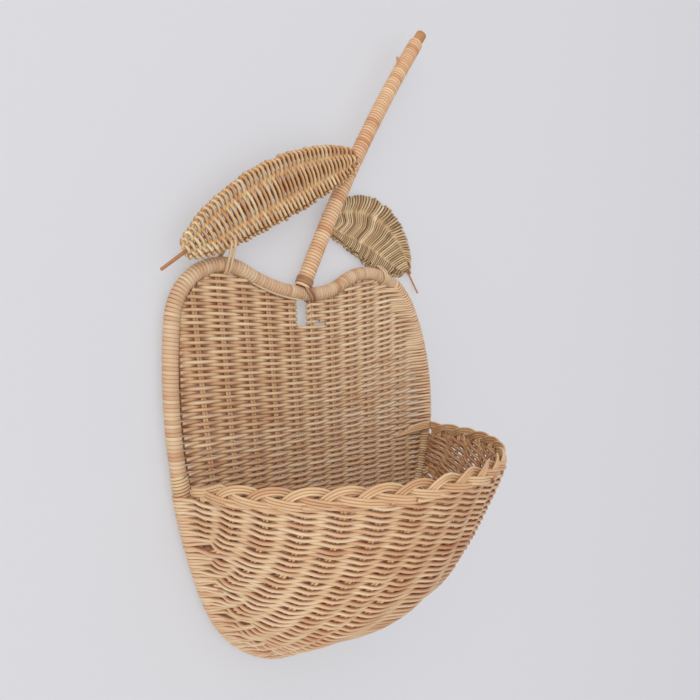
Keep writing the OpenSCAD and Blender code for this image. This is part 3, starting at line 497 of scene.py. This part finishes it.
def pocket_place(turn, z, inset=WALL_T / 2):
    """Points of the pocket's wall at a height: turn 0 is the left hoop and 180 the right."""
    out = REACH - inset
    left, right = hoop_sides(z, out)
    down = min(1, max(0, (RIM_Z - z) / (RIM_Z + BOTTOM + out)))
    share = (1 - TAPER / DEPTH) * (1 - down**BELLY_LOW) ** BELLY_FULL + TAPER / DEPTH * (1 - down)
    turn = np.radians(turn)
    return np.stack([(left + right) / 2 - (right - left) / 2 * np.cos(turn),
                     -SEAT - share * (DEPTH - inset) * np.sin(turn), 0 * turn + z], -1)


def stake_run(k):
    """Turns and heights of pocket stake pair k, counted from the middle, rim to foot."""
    t = np.linspace(0, 1, 40)
    loss, most = (1 - math.cos(math.radians(FOOT_TURN * n)) for n in (k, LAST_PAIR))
    foot = max(FOOT_LEAST, 1 - FOOT_LOSS * loss / most)
    turn = 90 + np.sign(k) * (90 - (90 - PAIR_TURN * abs(k)) * np.cos(np.pi / 2 * t))
    return turn, POCKET_TOP + foot * np.sin(np.pi / 2 * t) ** PAIR_EASE * (LOWEST - POCKET_TOP)


for pair in range(-LAST_PAIR, LAST_PAIR + 1):
    rods = []
    drawn = [pair]
    if abs(pair) == LAST_PAIR:
        drawn.append(pair + int(np.sign(pair)))
    for k in drawn:
        turn, z = stake_run(k)
        middle = np.array([pocket_place(np.array(a), b) for a, b in zip(turn, z)])[:-1]
        outer = np.array([pocket_place(np.array(a), b, WALL_T / 2 - 1) for a, b in zip(turn, z)])[:-1]
        aside = np.cross(np.gradient(middle, axis=0), outer - middle)
        aside /= np.linalg.norm(aside, axis=1, keepdims=True)
        for side in (-1, 1):
            path = middle + side * ROD_SHIFT * aside
            path = np.concatenate([[path[0] + [0, 0, INTO_RIM], path[0] + [0, 0, INTO_RIM / 2]], path])
            rods.append(strand(path, STAKE_R, STAKE_TONE + STAKE_SPREAD * rng.random(), 8))
    make_piece(f"pocket_stakes_{pair + 8}_rods", rods, pale_stake, f"pocket_stakes_{pair + 8}")


# The woven pocket: rows of the same reed in plain weave through the stakes. They start
# high at the left side, hang down towards the right of the front and climb again, and
# most go out round the pole. Beside the foot of most stakes they part and leave a hole.
POCKET_REED_R, POCKET_STEP, POCKET_SWING, FIRST_LEVEL = 1.42, 2.3, 2.3, -42
HOLE_LEFT, HOLE_RIGHT, HOLE_AT, HOLE_LENGTH, HOLE_REACH = 2.8, 1.4, 11, 7, 5
PARTINGS, PARTING_W, PARTING_REACH = (34, 76), 0.9, 3.5
INTO_PLAIT, ABOVE_POLE, NEAR_POLE, SHADED_Y = 4, 1.5, 5, -13
COLUMNS, LEVELS, EASE = 241, 260, 12
below_rim = {}
for left in (True, False):
    lengths = np.linspace(left_rim if left else right_rim, hoop_near(-BOTTOM_SHIFT, -BOTTOM), 500)
    below_rim[left] = lengths, hoop_at(lengths)[0][:, 1]
stake_runs = {k: stake_run(k) for k in range(-LAST_PAIR - 1, LAST_PAIR + 2)}
wall_turns = np.linspace(0, 180, COLUMNS)
wall_z = np.linspace(POCKET_TOP + 6, LOWEST + 0.3, LEVELS)
wall_grid = np.stack([pocket_place(wall_turns, z) for z in wall_z])
wall_steps = np.linalg.norm(np.diff(wall_grid, axis=0), axis=2)
wall_down = np.concatenate([np.zeros((1, COLUMNS)), np.cumsum(wall_steps, axis=0)])
wall_down -= [np.interp(-POCKET_TOP, -wall_z, column) for column in wall_down.T]
wall_face = -np.cross(np.gradient(wall_grid, axis=1), np.gradient(wall_grid, axis=0))
wall_face /= np.maximum(1e-6, np.linalg.norm(wall_face, axis=2, keepdims=True))
row_hang = np.interp(wall_turns, [0, 25, 60, 100, 125, 145, 180], [0, 11, 24, 39, 43, 36, 8])
row_hang = np.convolve(np.pad(row_hang, EASE, mode="edge"), np.ones(2 * EASE + 1) / (2 * EASE + 1), "valid")


def on_wall(values, down):
    """A value of the wall's grid at distances down each of its columns."""
    return np.stack([[np.interp(d, wall_down[:, i], values[:, i, c]) for c in range(3)]
                     for i, d in enumerate(down)])


rows = []
for j, level in enumerate(np.arange(FIRST_LEVEL, wall_down.max(), POCKET_STEP)):
    phase, wave = 6.28 * rng.random(), 35 + 40 * rng.random()
    down = level + row_hang + 0.15 * rng.standard_normal() + 0.25 * np.sin(wall_turns / wave * 6.28 + phase)
    run = np.concatenate([[0], np.cumsum(np.linalg.norm(np.diff(on_wall(wall_grid, down), axis=0), axis=1))])
    for k, (_, stake_z) in stake_runs.items():
        if abs(k) not in (0, LAST_PAIR):
            column = 0 if k < 0 else -1
            beside = run if k < 0 else run[-1] - run
            off = level + row_hang[column] - np.interp(-stake_z[-1], -wall_z, wall_down[:, column])
            hole = HOLE_LEFT if k < 0 else HOLE_RIGHT
            hole = hole * np.sign(off) * math.exp(-((off / HOLE_REACH) ** 2))
            down += hole * np.exp(-(((beside - HOLE_AT) / HOLE_LENGTH) ** 2))
    path = on_wall(wall_grid, down)
    crossed = []
    for k, (stake_turn, stake_z) in stake_runs.items():
        aside = wall_turns - np.interp(-path[:, 2], -stake_z, stake_turn)
        hit = np.flatnonzero((aside[:-1] < 0) & (aside[1:] >= 0) & (path[1:, 2] > stake_z[-1] + 1))
        crossed += [(wall_turns[i], k) for i in hit[:1]]
    if not crossed:
        continue
    crossed.sort()
    met, which = np.array(crossed).T
    # Beyond each end the weave goes on as if there were two more stakes.
    known = np.concatenate([met[0] - [18, 9], met, met[-1] + [9, 18]])
    order = np.concatenate([which[0] - [2, 1], which, which[-1] + [1, 2]])
    order = np.interp(wall_turns, known, order)
    down += 0.35 * np.sin(2 * np.pi * order)
    # At two heights the rows part a little where they cross the stakes.
    for parting in PARTINGS:
        off = level - parting
        parted = PARTING_W * np.sign(off) * math.exp(-((off / PARTING_REACH) ** 2))
        down += parted * (0.5 + 0.5 * np.cos(2 * np.pi * order))
    path, face = on_wall(wall_grid, down), on_wall(wall_face, down)
    swings = np.cos(np.pi * order)
    swings = np.sign(swings) * np.abs(swings) ** 1.5 * (1 if j % 2 else -1)
    tone = 0.45 + 0.11 * rng.standard_normal()
    radius = POCKET_REED_R * (1 + 0.05 * rng.standard_normal())
    for first, last in stretches((down > -INTO_PLAIT) & (down < wall_down[-1] - ABOVE_POLE)):
        part = slice(first, last + 1)
        if last - first < SHORTEST:
            continue
        swing = swings[part]
        woven = path[part] + POCKET_SWING * swing[:, None] * face[part]
        # The weave stops in front of the pole, and the row's ends go round it.
        keep = woven[:, 1] < np.interp(np.abs(wall_turns[part] - 90), [45, 70], [-8.5, -15])
        if keep.sum() < 6:
            continue
        whole = woven[keep]
        for left, at in ((True, first), (False, last)):
            if at in (0, COLUMNS - 1):
                length = np.interp(-path[at, 2], -below_rim[left][1], below_rim[left][0])
            elif down[at] > wall_down[-1, at] - NEAR_POLE:
                length = hoop_near(path[at, 0], path[at, 2])
            else:
                continue
            end = wrap_round(length, [-52, -25, 5, 35, 65, 90])
            whole = np.concatenate([end[::-1], whole] if left else [whole, end])
        whole = smooth_path(whole, 1.9, 1)
        spots = np.linalg.norm(whole[:, None] - woven[None], axis=2).argmin(1)
        # Painted shade: the rows darken towards the right of the pocket, the side turned away from the
        # window light, and only their parts in front of SHADED_Y get painted shade behind the stakes.
        tones = tone + np.interp(wall_turns[part][spots], [30, 75, 110, 150], [-0.06, 0.14, 0.18, 0.22])
        rows.append(strand(whole, radius, tones, 8, face[part][spots],
                           swing=swing[spots] * (whole[:, 1] < SHADED_Y), edge=0.9))
half = len(rows) // 2
make_piece("pocket_weave_upper_rows", rows[:half], core_reed, "pocket_weave")
make_piece("pocket_weave_lower_rows", rows[half:], core_reed, "pocket_weave")


# The plaited rim: above the wall each stake group bends to the right, goes over the
# edge, behind the next group and then down in front of two more, where it is tucked in.
# A band's way, measured in stakes along the rim, with its heights and distances out.
BAND_S = [-0.12, 0.06, 0.2, 0.36, 0.55, 0.78, 1.05, 1.3, 1.52, 1.78, 2.05, 2.45, 2.85, 3.15]
BAND_H = [-10.0, -6.5, -2.8, 0.6, 3.0, 4.3, 4.1, 2.6, 0.2, -1.4, -2.5, -4.2, -5.4, -6.2]
BAND_D = [-1.5, -0.8, 1.2, 2.6, 2.6, 1.2, -0.8, -2.0, -0.6, 2.0, 3.2, 3.2, 1.8, -0.6]
ROD_R, ROD_PITCH, RIM_STEP, RIM_TURN = 0.98, 1.9, 24, 10
# Rim reed: the stakes' own reed, a little more golden where it was soaked and bent.
golden_reed = rattan("golden_rim_reed", "#e2c79f", "#d2aa80", "#b8825b", "#8c4a30", roughness=0.46)


def rim_place(turn, height, out):
    """A point of the plait: its turn along the rim, height and distance out of its middle."""
    middle = pocket_place(turn, RIM_Z - 8)
    ahead = np.gradient(middle, axis=0)
    face = np.stack([ahead[:, 1], -ahead[:, 0], 0 * turn], 1)
    face /= np.linalg.norm(face, axis=1, keepdims=True)
    place = middle + out[:, None] * face
    place[:, 2] = RIM_Z + height
    return place


bands = []
for stake in range(-1, 19):
    tone = 0.42 + 0.12 * rng.standard_normal()
    s = np.linspace(BAND_S[0], BAND_S[-1], 70)
    turn = RIM_TURN * (stake + s)
    keep = (turn > 1) & (turn < 179)
    if keep.sum() < 6:
        continue
    height, out = np.interp(s, BAND_S, BAND_H), np.interp(s, BAND_S, BAND_D)
    for _ in range(4):
        height[1:-1] = (height[:-2] + 2 * height[1:-1] + height[2:]) / 4
        out[1:-1] = (out[:-2] + 2 * out[1:-1] + out[2:]) / 4
    # Beside the hoop's left side the bands stay low.
    height = np.minimum(height, np.interp(turn, [0, 8, 16], [-2, 0, 6]))
    slope = np.gradient(height) / (np.gradient(s) * RIM_STEP)
    flat = 1 / np.sqrt(1 + slope**2)
    for rod in (-1, 0, 1):
        rise = rod * ROD_PITCH
        path = rim_place(turn - rise * slope * flat / (RIM_STEP / RIM_TURN), height + rise * flat, out)
        bands.append(strand(path[keep], ROD_R, tone + 0.07 * rng.standard_normal(), 8))
# At the right end four rods come out of the back, over the hoop and into the plait.
hoop_right = hoop_sides(RIM_Z, 0)[1]
for rod in range(4):
    over = np.array([[hoop_right - 44 + 6 * rod, -3.4, RIM_Z - 1 + 1.4 * rod],
                     [hoop_right - 22, -4.6, RIM_Z + 0.5 + 1.6 * rod],
                     [hoop_right - 7, -7.0, RIM_Z + 1.5 + 1.7 * rod],
                     [hoop_right + 1, -9.0, RIM_Z + 1 + 1.7 * rod],
                     [hoop_right + 0.5, -17, RIM_Z + 1 + 1.2 * rod],
                     [hoop_right - 1, -30, RIM_Z + 1 + 0.6 * rod]])
    bands.append(strand(smooth_path(over, 1.5, 6), ROD_R, 0.4 + 0.1 * rng.standard_normal(), 8))
make_piece("rim_braid_rods", bands, golden_reed, "rim_braid")


# The stem: a pole with a slight bend, nailed to the hoop at the dip and bound with a
# narrow, thick strip of peel up to its bare end. It leans a little away from the wall.
STEM_R, STEM_T, STEM_STRIP = 4.7, 1.6, 2.55
BOUND_FROM, BOUND_PAST, STEM_FROM, BARE_END, REED_END_AT = 5, 2.5, 5.6, 14, 220
FOOT_BAND_FROM, FOOT_BAND_TO, FOOT_BAND_PITCH, FOOT_BAND_HALF, LOOP_GAP = 7.5, 12.6, 1.7, 0.45, 2.6
STEM_SHIFT, STEM_ANGLE, STEM_BEND, STEM_LEAN, STEM_LENGTH = 14.5, 63.5, 1200.0, 4.0, 249.0
stem_foot_z = upper_z(-STEM_SHIFT, 0)


def stem_at(length):
    """Places along the stem's middle, and two directions square to it."""
    turn = np.asarray(length) / STEM_BEND
    tilt = math.radians(90 - STEM_ANGLE)
    lean = math.radians(STEM_LEAN)
    side, rise = STEM_BEND * (1 - np.cos(turn)), STEM_BEND * np.sin(turn)
    flat = np.stack([rise * math.sin(tilt) + side * math.cos(tilt), 0 * turn,
                     rise * math.cos(tilt) - side * math.sin(tilt)], -1)
    away = np.stack([np.cos(turn + tilt), 0 * turn, -np.sin(turn + tilt)], -1)
    spin = np.array([[1, 0, 0], [0, math.cos(lean), -math.sin(lean)], [0, math.sin(lean), math.cos(lean)]])
    front = np.broadcast_to(spin @ [0, -1, 0], flat.shape)
    return flat @ spin.T + [-STEM_SHIFT, 0, stem_foot_z], away @ spin.T, front


def stem_wound(first, last, pitch, radius, per_turn):
    """A path wound round the stem, the directions away from it, and its turns."""
    length = np.linspace(first, last, int((last - first) / pitch * per_turn))
    turn = 2 * np.pi * (length - first) / pitch
    place, side, front = stem_at(length)
    away = side * np.cos(turn)[:, None] + front * np.sin(turn)[:, None]
    return place + radius * away, away, turn / (2 * np.pi)


# Stem peel: a golden beige strip, with reddish painted shade along its edges.
stem_peel = rattan("stem_rattan_peel", "#eccda4", "#deb388", "#c5875c", "#93543a",
                   roughness=0.45, along=0.015)
path, away, turns = stem_wound(BOUND_FROM, STEM_LENGTH + BOUND_PAST, STEM_STRIP, STEM_R + STEM_T / 2, 22)
# A reed's end sticks out near the top.
place, side, front = stem_at(np.linspace(REED_END_AT, REED_END_AT + 4, 5))
reed_end = place - side * np.linspace(5.0, 10.0, 5)[:, None] + 0.3 * front
make_piece("stem_binding_strip",
           [strand(path, STEM_STRIP / 2, turn_tones(turns, 0.45, 0.25), 10, away, STEM_T / 2, edge=1.0),
            strand(reed_end, 1.1, 0.8)], stem_peel, "stem_binding")
place = stem_at(np.linspace(STEM_FROM, STEM_LENGTH + BARE_END, 60))[0]
make_piece("stem_pole_rod", [strand(place, STEM_R, 0.45, 20)], bare_pole, "stem_pole")
# Dark peel: the same strip in a red-brown, a little shinier, with painted shade along its edges.
dark_peel = rattan("dark_rattan_peel", "#c49a76", "#a87c5a", "#85593c", "#63402b", roughness=0.4)
path, away, turns = stem_wound(FOOT_BAND_FROM, FOOT_BAND_TO, FOOT_BAND_PITCH, STEM_R + STEM_T + 0.2, 24)
lashing = [strand(path, 0.95, turn_tones(turns, 0.4, 0.3), 10, away, FOOT_BAND_HALF)]
# Two loops of the band go down round the hoop.
for aside in (0.0, LOOP_GAP):
    high, side, front = (v[0] for v in stem_at(np.array([9.0 - aside])))
    around = np.array([high - 4.6 * side + 3.4 * front,
                       (-12.5, -6.9, 2.2), (-8.0, -6.3, -2.6), (-5.0, -4.0, -5.6),
                       (-4.2, 0.0, -7.0), (-5.5, 4.6, -5.0), (-9.0, 6.6, 0.0),
                       high - 3.6 * side - 4.4 * front])
    around += [aside, 0, 0.4 * aside]
    around = smooth_path(np.concatenate([around, around[:1]]), 0.8, 6)
    out = around - around.mean(0)
    out /= np.linalg.norm(out, axis=1, keepdims=True)
    lashing.append(strand(around, 1.15, 0.3 + 0.3 * aside / LOOP_GAP, 10, out, FOOT_BAND_HALF))
make_piece("stem_foot_band_strip", lashing, dark_peel, "stem_foot_band")
# Bright wire: the nail is hidden in the pole and the stem.
nail_steel = bpy.data.materials.new("bright_wire_nail")
nail_steel.use_nodes = True
nail_shader = nail_steel.node_tree.nodes["Principled BSDF"]
nail_shader.inputs["Base Color"].default_value = linear("#8c8c8c")
nail_shader.inputs["Metallic"].default_value = 1.0
frame["nodes"]["stem_nail"].data.materials.clear()
frame["nodes"]["stem_nail"].data.materials.append(nail_steel)


# The large leaf: a midrib and two edge rods, woven with one fine reed that runs to and
# fro, over the midrib on one way and under it on the other, looped round the edges.
# Its base lies against the front of the stem, and a tie holds it to the hoop.
def leaf_frame(base, tip):
    """Length, and the directions along, across and out of a leaf."""
    span = np.array(tip) - np.array(base)
    ahead = span / np.linalg.norm(span)
    across = np.cross(ahead, [0, 1, 0])
    across /= np.linalg.norm(across)
    if across[2] < 0:
        across = -across
    front = np.cross(ahead, across)
    return np.linalg.norm(span), ahead, across, front if front[1] < 0 else -front


def leaf_points(leaf, share, place, out):
    """Points of a leaf: share along it, place across from -1 to 1, distance out of it."""
    length, ahead, across, front = leaf_frame(leaf["base"], leaf["tip"])
    share = np.asarray(share, float)
    bow = leaf["bow"] * np.sin(np.pi * share)
    slope = leaf["bow"] * np.pi / length * np.cos(np.pi * share)
    half = leaf_half(leaf, share)
    tilt = np.stack([-slope, 1 + 0 * slope], -1) / np.sqrt(1 + slope**2)[..., None]
    off = (np.asarray(place) * half)[..., None] * tilt
    flat = np.array(leaf["base"]) + (length * share + off[..., 0])[..., None] * ahead
    return flat + (bow + off[..., 1])[..., None] * across + np.asarray(out)[..., None] * front


def leaf_half(leaf, share):
    """Half the width of a leaf at a share along it."""
    return leaf["half"] * np.sqrt(np.clip(np.sin(np.pi * np.clip(share, 0, 1) ** leaf["full"]), 0, 1))


def leaf_weave(leaf, passes, reed, ripple, swell, spread, lower_lean, upper_lean):
    """One reed woven to and fro across a leaf, as strands that may lean towards its tip.

    A lean is an angle at the leaf's base and its change up to the tip, in degrees, below
    the midrib or above it. With swell, the strands are thicker towards the upper edge.
    """
    made = []
    round_edge = np.radians([30, 70, 110, 150, 185])
    loop, reach = len(round_edge), reed + 0.8
    step = (leaf["to"] - leaf["from"]) / passes
    across, front = leaf_frame(leaf["base"], leaf["tip"])[2:]
    for i in range(passes):
        share = leaf["from"] + (leaf["to"] - leaf["from"]) * (i + 0.5) / passes
        half = leaf_half(leaf, share)
        place = np.linspace(-1, 1, 25) * (1 + 0.025 * rng.standard_normal())
        sign = 1 if i % 2 else -1
        swing = reach * sign * np.cos(np.pi * place) + ripple * (0.6 + np.cos(2.6 * np.pi * place))
        edge = -reach * sign
        far = place[-1] + reach * np.sin(round_edge) / max(half, 4)
        over = np.concatenate([place, far]) * -sign
        lower, upper = (math.tan(math.radians(at + more * share)) for at, more in (lower_lean, upper_lean))
        path_share = share + np.where(over < 0, lower, upper) * np.clip(over, -1, 1) * half / leaf["length"]
        path_share[-loop:] += step * np.linspace(0.1, 1, loop)
        path_out = np.concatenate([swing, edge * np.cos(round_edge)])
        path = leaf_points(leaf, path_share, over, path_out)
        wobble = 0.25 * rng.standard_normal()
        path[:, 0] += wobble * np.sin(np.linspace(0, 3.1, len(path)))
        path = smooth_path(path, 1.4, 1)
        off = path - leaf_points(leaf, np.array([share]), np.zeros(1), np.zeros(1))
        wide = reed * (1 + swell * np.clip(off @ across / leaf["half"], -1, 1))
        depth = off @ front / reach
        # The loops round the edges get no painted shade for lying behind.
        depth[-loop:] = np.maximum(depth[-loop:], 0)
        tone = 0.48 + spread * rng.standard_normal() - leaf["pale"] * max(0, share - 0.85)
        facing = np.broadcast_to(front, path.shape)
        made.append(strand(path, wide, tone, 8, facing, swing=np.clip(depth, -1, 1)))
    return made


def leaf_rods(leaf, rod, places):
    """Rods along a leaf at places across it, the inner ones behind its reed."""
    made = []
    t = (1 - np.cos(np.linspace(0.12, np.pi - 0.12, 50))) / 2
    for place in places:
        behind = np.full(len(t), 0.0 if abs(place) == 1 else -1.6)
        made.append(strand(leaf_points(leaf, t, place + 0 * t, behind), rod, 0.5, 8))
    return made


# A leaf has a base and a tip, half a width, a bow of its midrib, a place where it is
# fullest, a woven stretch, a length, and a tip that may be paler.
large = {"base": (38, -16.2, 106), "tip": (-124, -8.4, 29), "half": 19.0, "bow": 7.2, "full": 1.0,
         "from": 0.012, "to": 0.985, "length": 179.5, "pale": 2.2}
# Golden leaf reed: honey-coloured fine core, from straw to orange-brown, with painted shade where a strand
# lies behind or beside another.
leaf_reed = rattan("golden_leaf_reed", "#e7ce9f", "#d3a775", "#b4754b", "#74492f", roughness=0.5)
large_strands = leaf_weave(large, passes=84, reed=1.33, ripple=0, swell=0, spread=0.14,
                           lower_lean=(0, 0), upper_lean=(0, 0))
make_piece("large_leaf_strands", large_strands, leaf_reed, "large_leaf_weave")
make_piece("large_leaf_edge_rods", leaf_rods(large, 1.0, (-1, 1)), leaf_reed, "large_leaf_edge")
# Orange-brown rod: the bare midribs that stick out of the leaves' tips.
brown_rod = rattan("orange_brown_rod", "#c48c5e", "#b07548", "#8c5433", "#5a3423", roughness=0.5)
LARGE_RIB_END = 1.11
t = np.linspace(0, LARGE_RIB_END, 40)
rib = leaf_points(large, t, 0 * t, 0 * t)
rib_radius = np.interp(t, [0, 0.95, 1, LARGE_RIB_END], [1.0, 1.0, 1.3, 1.1])
rib_tone = np.interp(t, [0.9, 1.05], [0.8, 0.4])
make_piece("large_leaf_midrib_rod", [strand(rib, rib_radius, rib_tone, 8)], brown_rod, "large_leaf_midrib")


# The small leaf: made in the same way behind the stem, from a finer and more olive
# reed woven more densely, with two more ribs that make it wavy.
small = {"base": (16.5, 4.4, 56.7), "tip": (121, 4.4, 18.8), "half": 26.6, "bow": 14.5, "full": 1.2,
         "from": 0.015, "to": 0.985, "length": 111.2, "pale": 0}
# Olive leaf reed: duller and less red than the rest, with dark painted shade between its turns.
olive_reed = rattan("olive_leaf_reed", "#ead3a8", "#c9a87d", "#926c49", "#503b27", roughness=0.55)
small_strands = leaf_weave(small, passes=98, reed=0.97, ripple=0.8, swell=0.28, spread=0.2,
                           lower_lean=(40, -23), upper_lean=(-2, 43))
make_piece("small_leaf_strands", small_strands, olive_reed, "small_leaf_weave")
make_piece("small_leaf_edge_rods", leaf_rods(small, 0.9, (-1, -0.5, 0.5, 1)), olive_reed, "small_leaf_edge")
SMALL_RIB_END, RIB_DROP = 1.16, 50
t = np.linspace(0, SMALL_RIB_END, 40)
rib = leaf_points(small, t, 0 * t, 0 * t)
rib[:, 2] -= RIB_DROP * np.clip(t - 1, 0, 1)
rib_radius = np.interp(t, [0, 1, SMALL_RIB_END], [1.0, 0.95, 0.8])
make_piece("small_leaf_midrib_rod", [strand(rib, rib_radius, 0.15, 8)], brown_rod, "small_leaf_midrib")


# The ties: two turns of peel round the hoop and a leaf's lower edge, one tie for each
# leaf. They lie close round both.
def tie(leaf, share):
    """Two loops round the hoop and the lower edge of a leaf."""
    edge = leaf_points(leaf, np.array([share]), np.array([-1.0]), np.array([0.0]))[0]
    hoop = np.array([edge[0], 0, upper_z(edge[0], 0)])
    span = edge[1:] - hoop[1:]
    aim, far = math.atan2(span[1], span[0]), np.linalg.norm(span)
    big, little = POLE_R + BINDING_T + 1.3, 2.9
    half = math.acos((big - little) / far)
    a = aim + np.linspace(-half, half, 12)
    b = aim + np.linspace(half, 2 * np.pi - half, 24)
    y = np.concatenate([edge[1] + little * np.cos(a), hoop[1] + big * np.cos(b)])
    z = np.concatenate([edge[2] + little * np.sin(a), hoop[2] + big * np.sin(b)])
    loops = []
    for side in (-1, 1):
        x = edge[0] + side + side * 0.6 * np.sin(np.linspace(0, 6.2, len(y)))
        path = np.stack([x, y, z], 1)
        loops.append(strand(smooth_path(np.concatenate([path, path[:1]]), 1.0, 2), 1.0, 0.35, 8))
    return loops


make_piece("large_leaf_tie_loops", tie(large, share=0.8), smooth_peel, "large_leaf_tie")
make_piece("small_leaf_tie_loops", tie(small, share=0.7), smooth_peel, "small_leaf_tie")


# The surroundings, in metres: a plain pale wall behind the basket and soft daylight, most
# of it from the left. The wall lets some light through and is clear from behind, so that
# the basket's back can be looked at.
WALL_Y, WALL_HALF = 0.0078, 1.6
wall_mesh = bpy.data.meshes.new("wall")
wall_mesh.from_pydata([(-WALL_HALF, WALL_Y, -WALL_HALF), (WALL_HALF, WALL_Y, -WALL_HALF),
                       (WALL_HALF, WALL_Y, WALL_HALF), (-WALL_HALF, WALL_Y, WALL_HALF)], [], [(0, 1, 2, 3)])
wall = bpy.data.objects.new("wall", wall_mesh)
bpy.context.scene.collection.objects.link(wall)
# Pale plaster: an even, dull grey-white that lets the rattan's colours stand out.
pale_wall = bpy.data.materials.new("pale_plaster")
pale_wall.use_nodes = True
tree = pale_wall.node_tree
matt = tree.nodes["Principled BSDF"]
matt.inputs["Base Color"].default_value = linear("#dadadd")
matt.inputs["Roughness"].default_value = 0.9
geometry = add(tree, "ShaderNodeNewGeometry")
clear = add(tree, "ShaderNodeBsdfTransparent")
glow = add(tree, "ShaderNodeBsdfTranslucent", {"Color": linear("#f4f4f5")})
plaster = add(tree, "ShaderNodeMixShader", {0: 0.5, 1: matt.outputs[0], 2: glow.outputs[0]})
behind = geometry.outputs["Backfacing"]
mix = add(tree, "ShaderNodeMixShader", {0: behind, 1: plaster.outputs[0], 2: clear.outputs[0]})
tree.links.new(mix.outputs[0], tree.nodes["Material Output"].inputs["Surface"])
wall_mesh.materials.append(pale_wall)

world = bpy.data.worlds.new("daylight")
world.use_nodes = True
world.node_tree.nodes["Background"].inputs["Color"].default_value = linear("#f1f1f4")
world.node_tree.nodes["Background"].inputs["Strength"].default_value = 0.84
bpy.context.scene.world = world
# Three wide lamps that face the origin: the name, place, width and watts of each.
for name, place, size, watts in (("window", (-1.9, -1.2, 0.3), 2.4, 17),
                                 ("sky", (-0.6, -1.5, 1.6), 2.0, 10),
                                 ("floor", (-0.8, -1.3, -1.2), 2.0, 4.5)):
    lamp = bpy.data.lights.new(name, "AREA")
    lamp.size, lamp.energy = size, watts
    lamp_object = bpy.data.objects.new(name, lamp)
    lamp_object.location = place
    lamp_object.rotation_euler = (-lamp_object.location).to_track_quat("-Z", "Y").to_euler()
    bpy.context.scene.collection.objects.link(lamp_object)

# The camera stands to the left of the basket at the height of its dip, turned a
# little to one side as it was held by hand.
SENSOR, FOCAL_PIXELS, PHOTO_PIXELS = 36.0, 750, 700
CAMERA_AT = (-0.4069, -0.4221, -0.0057)
camera = bpy.data.cameras.new("camera")
camera.sensor_width, camera.lens = SENSOR, SENSOR * FOCAL_PIXELS / PHOTO_PIXELS
camera_object = bpy.data.objects.new("camera", camera)
bpy.context.scene.collection.objects.link(camera_object)
yaw, pitch, roll = (math.radians(a) for a in (46.52, 3.83, -2.32))
sideways = np.array([math.cos(yaw), -math.sin(yaw), 0])
ahead = np.array([math.sin(yaw) * math.cos(pitch), math.cos(yaw) * math.cos(pitch), -math.sin(pitch)])
above = np.cross(sideways, ahead)
right = sideways * math.cos(roll) + above * math.sin(roll)
up = above * math.cos(roll) - sideways * math.sin(roll)
view = np.eye(4)
view[:3, 0], view[:3, 1], view[:3, 2], view[:3, 3] = right, up, -ahead, CAMERA_AT
camera_object.matrix_world = Matrix(view.tolist())
bpy.context.scene.camera = camera_object
bpy.context.scene.view_settings.view_transform = "Standard"
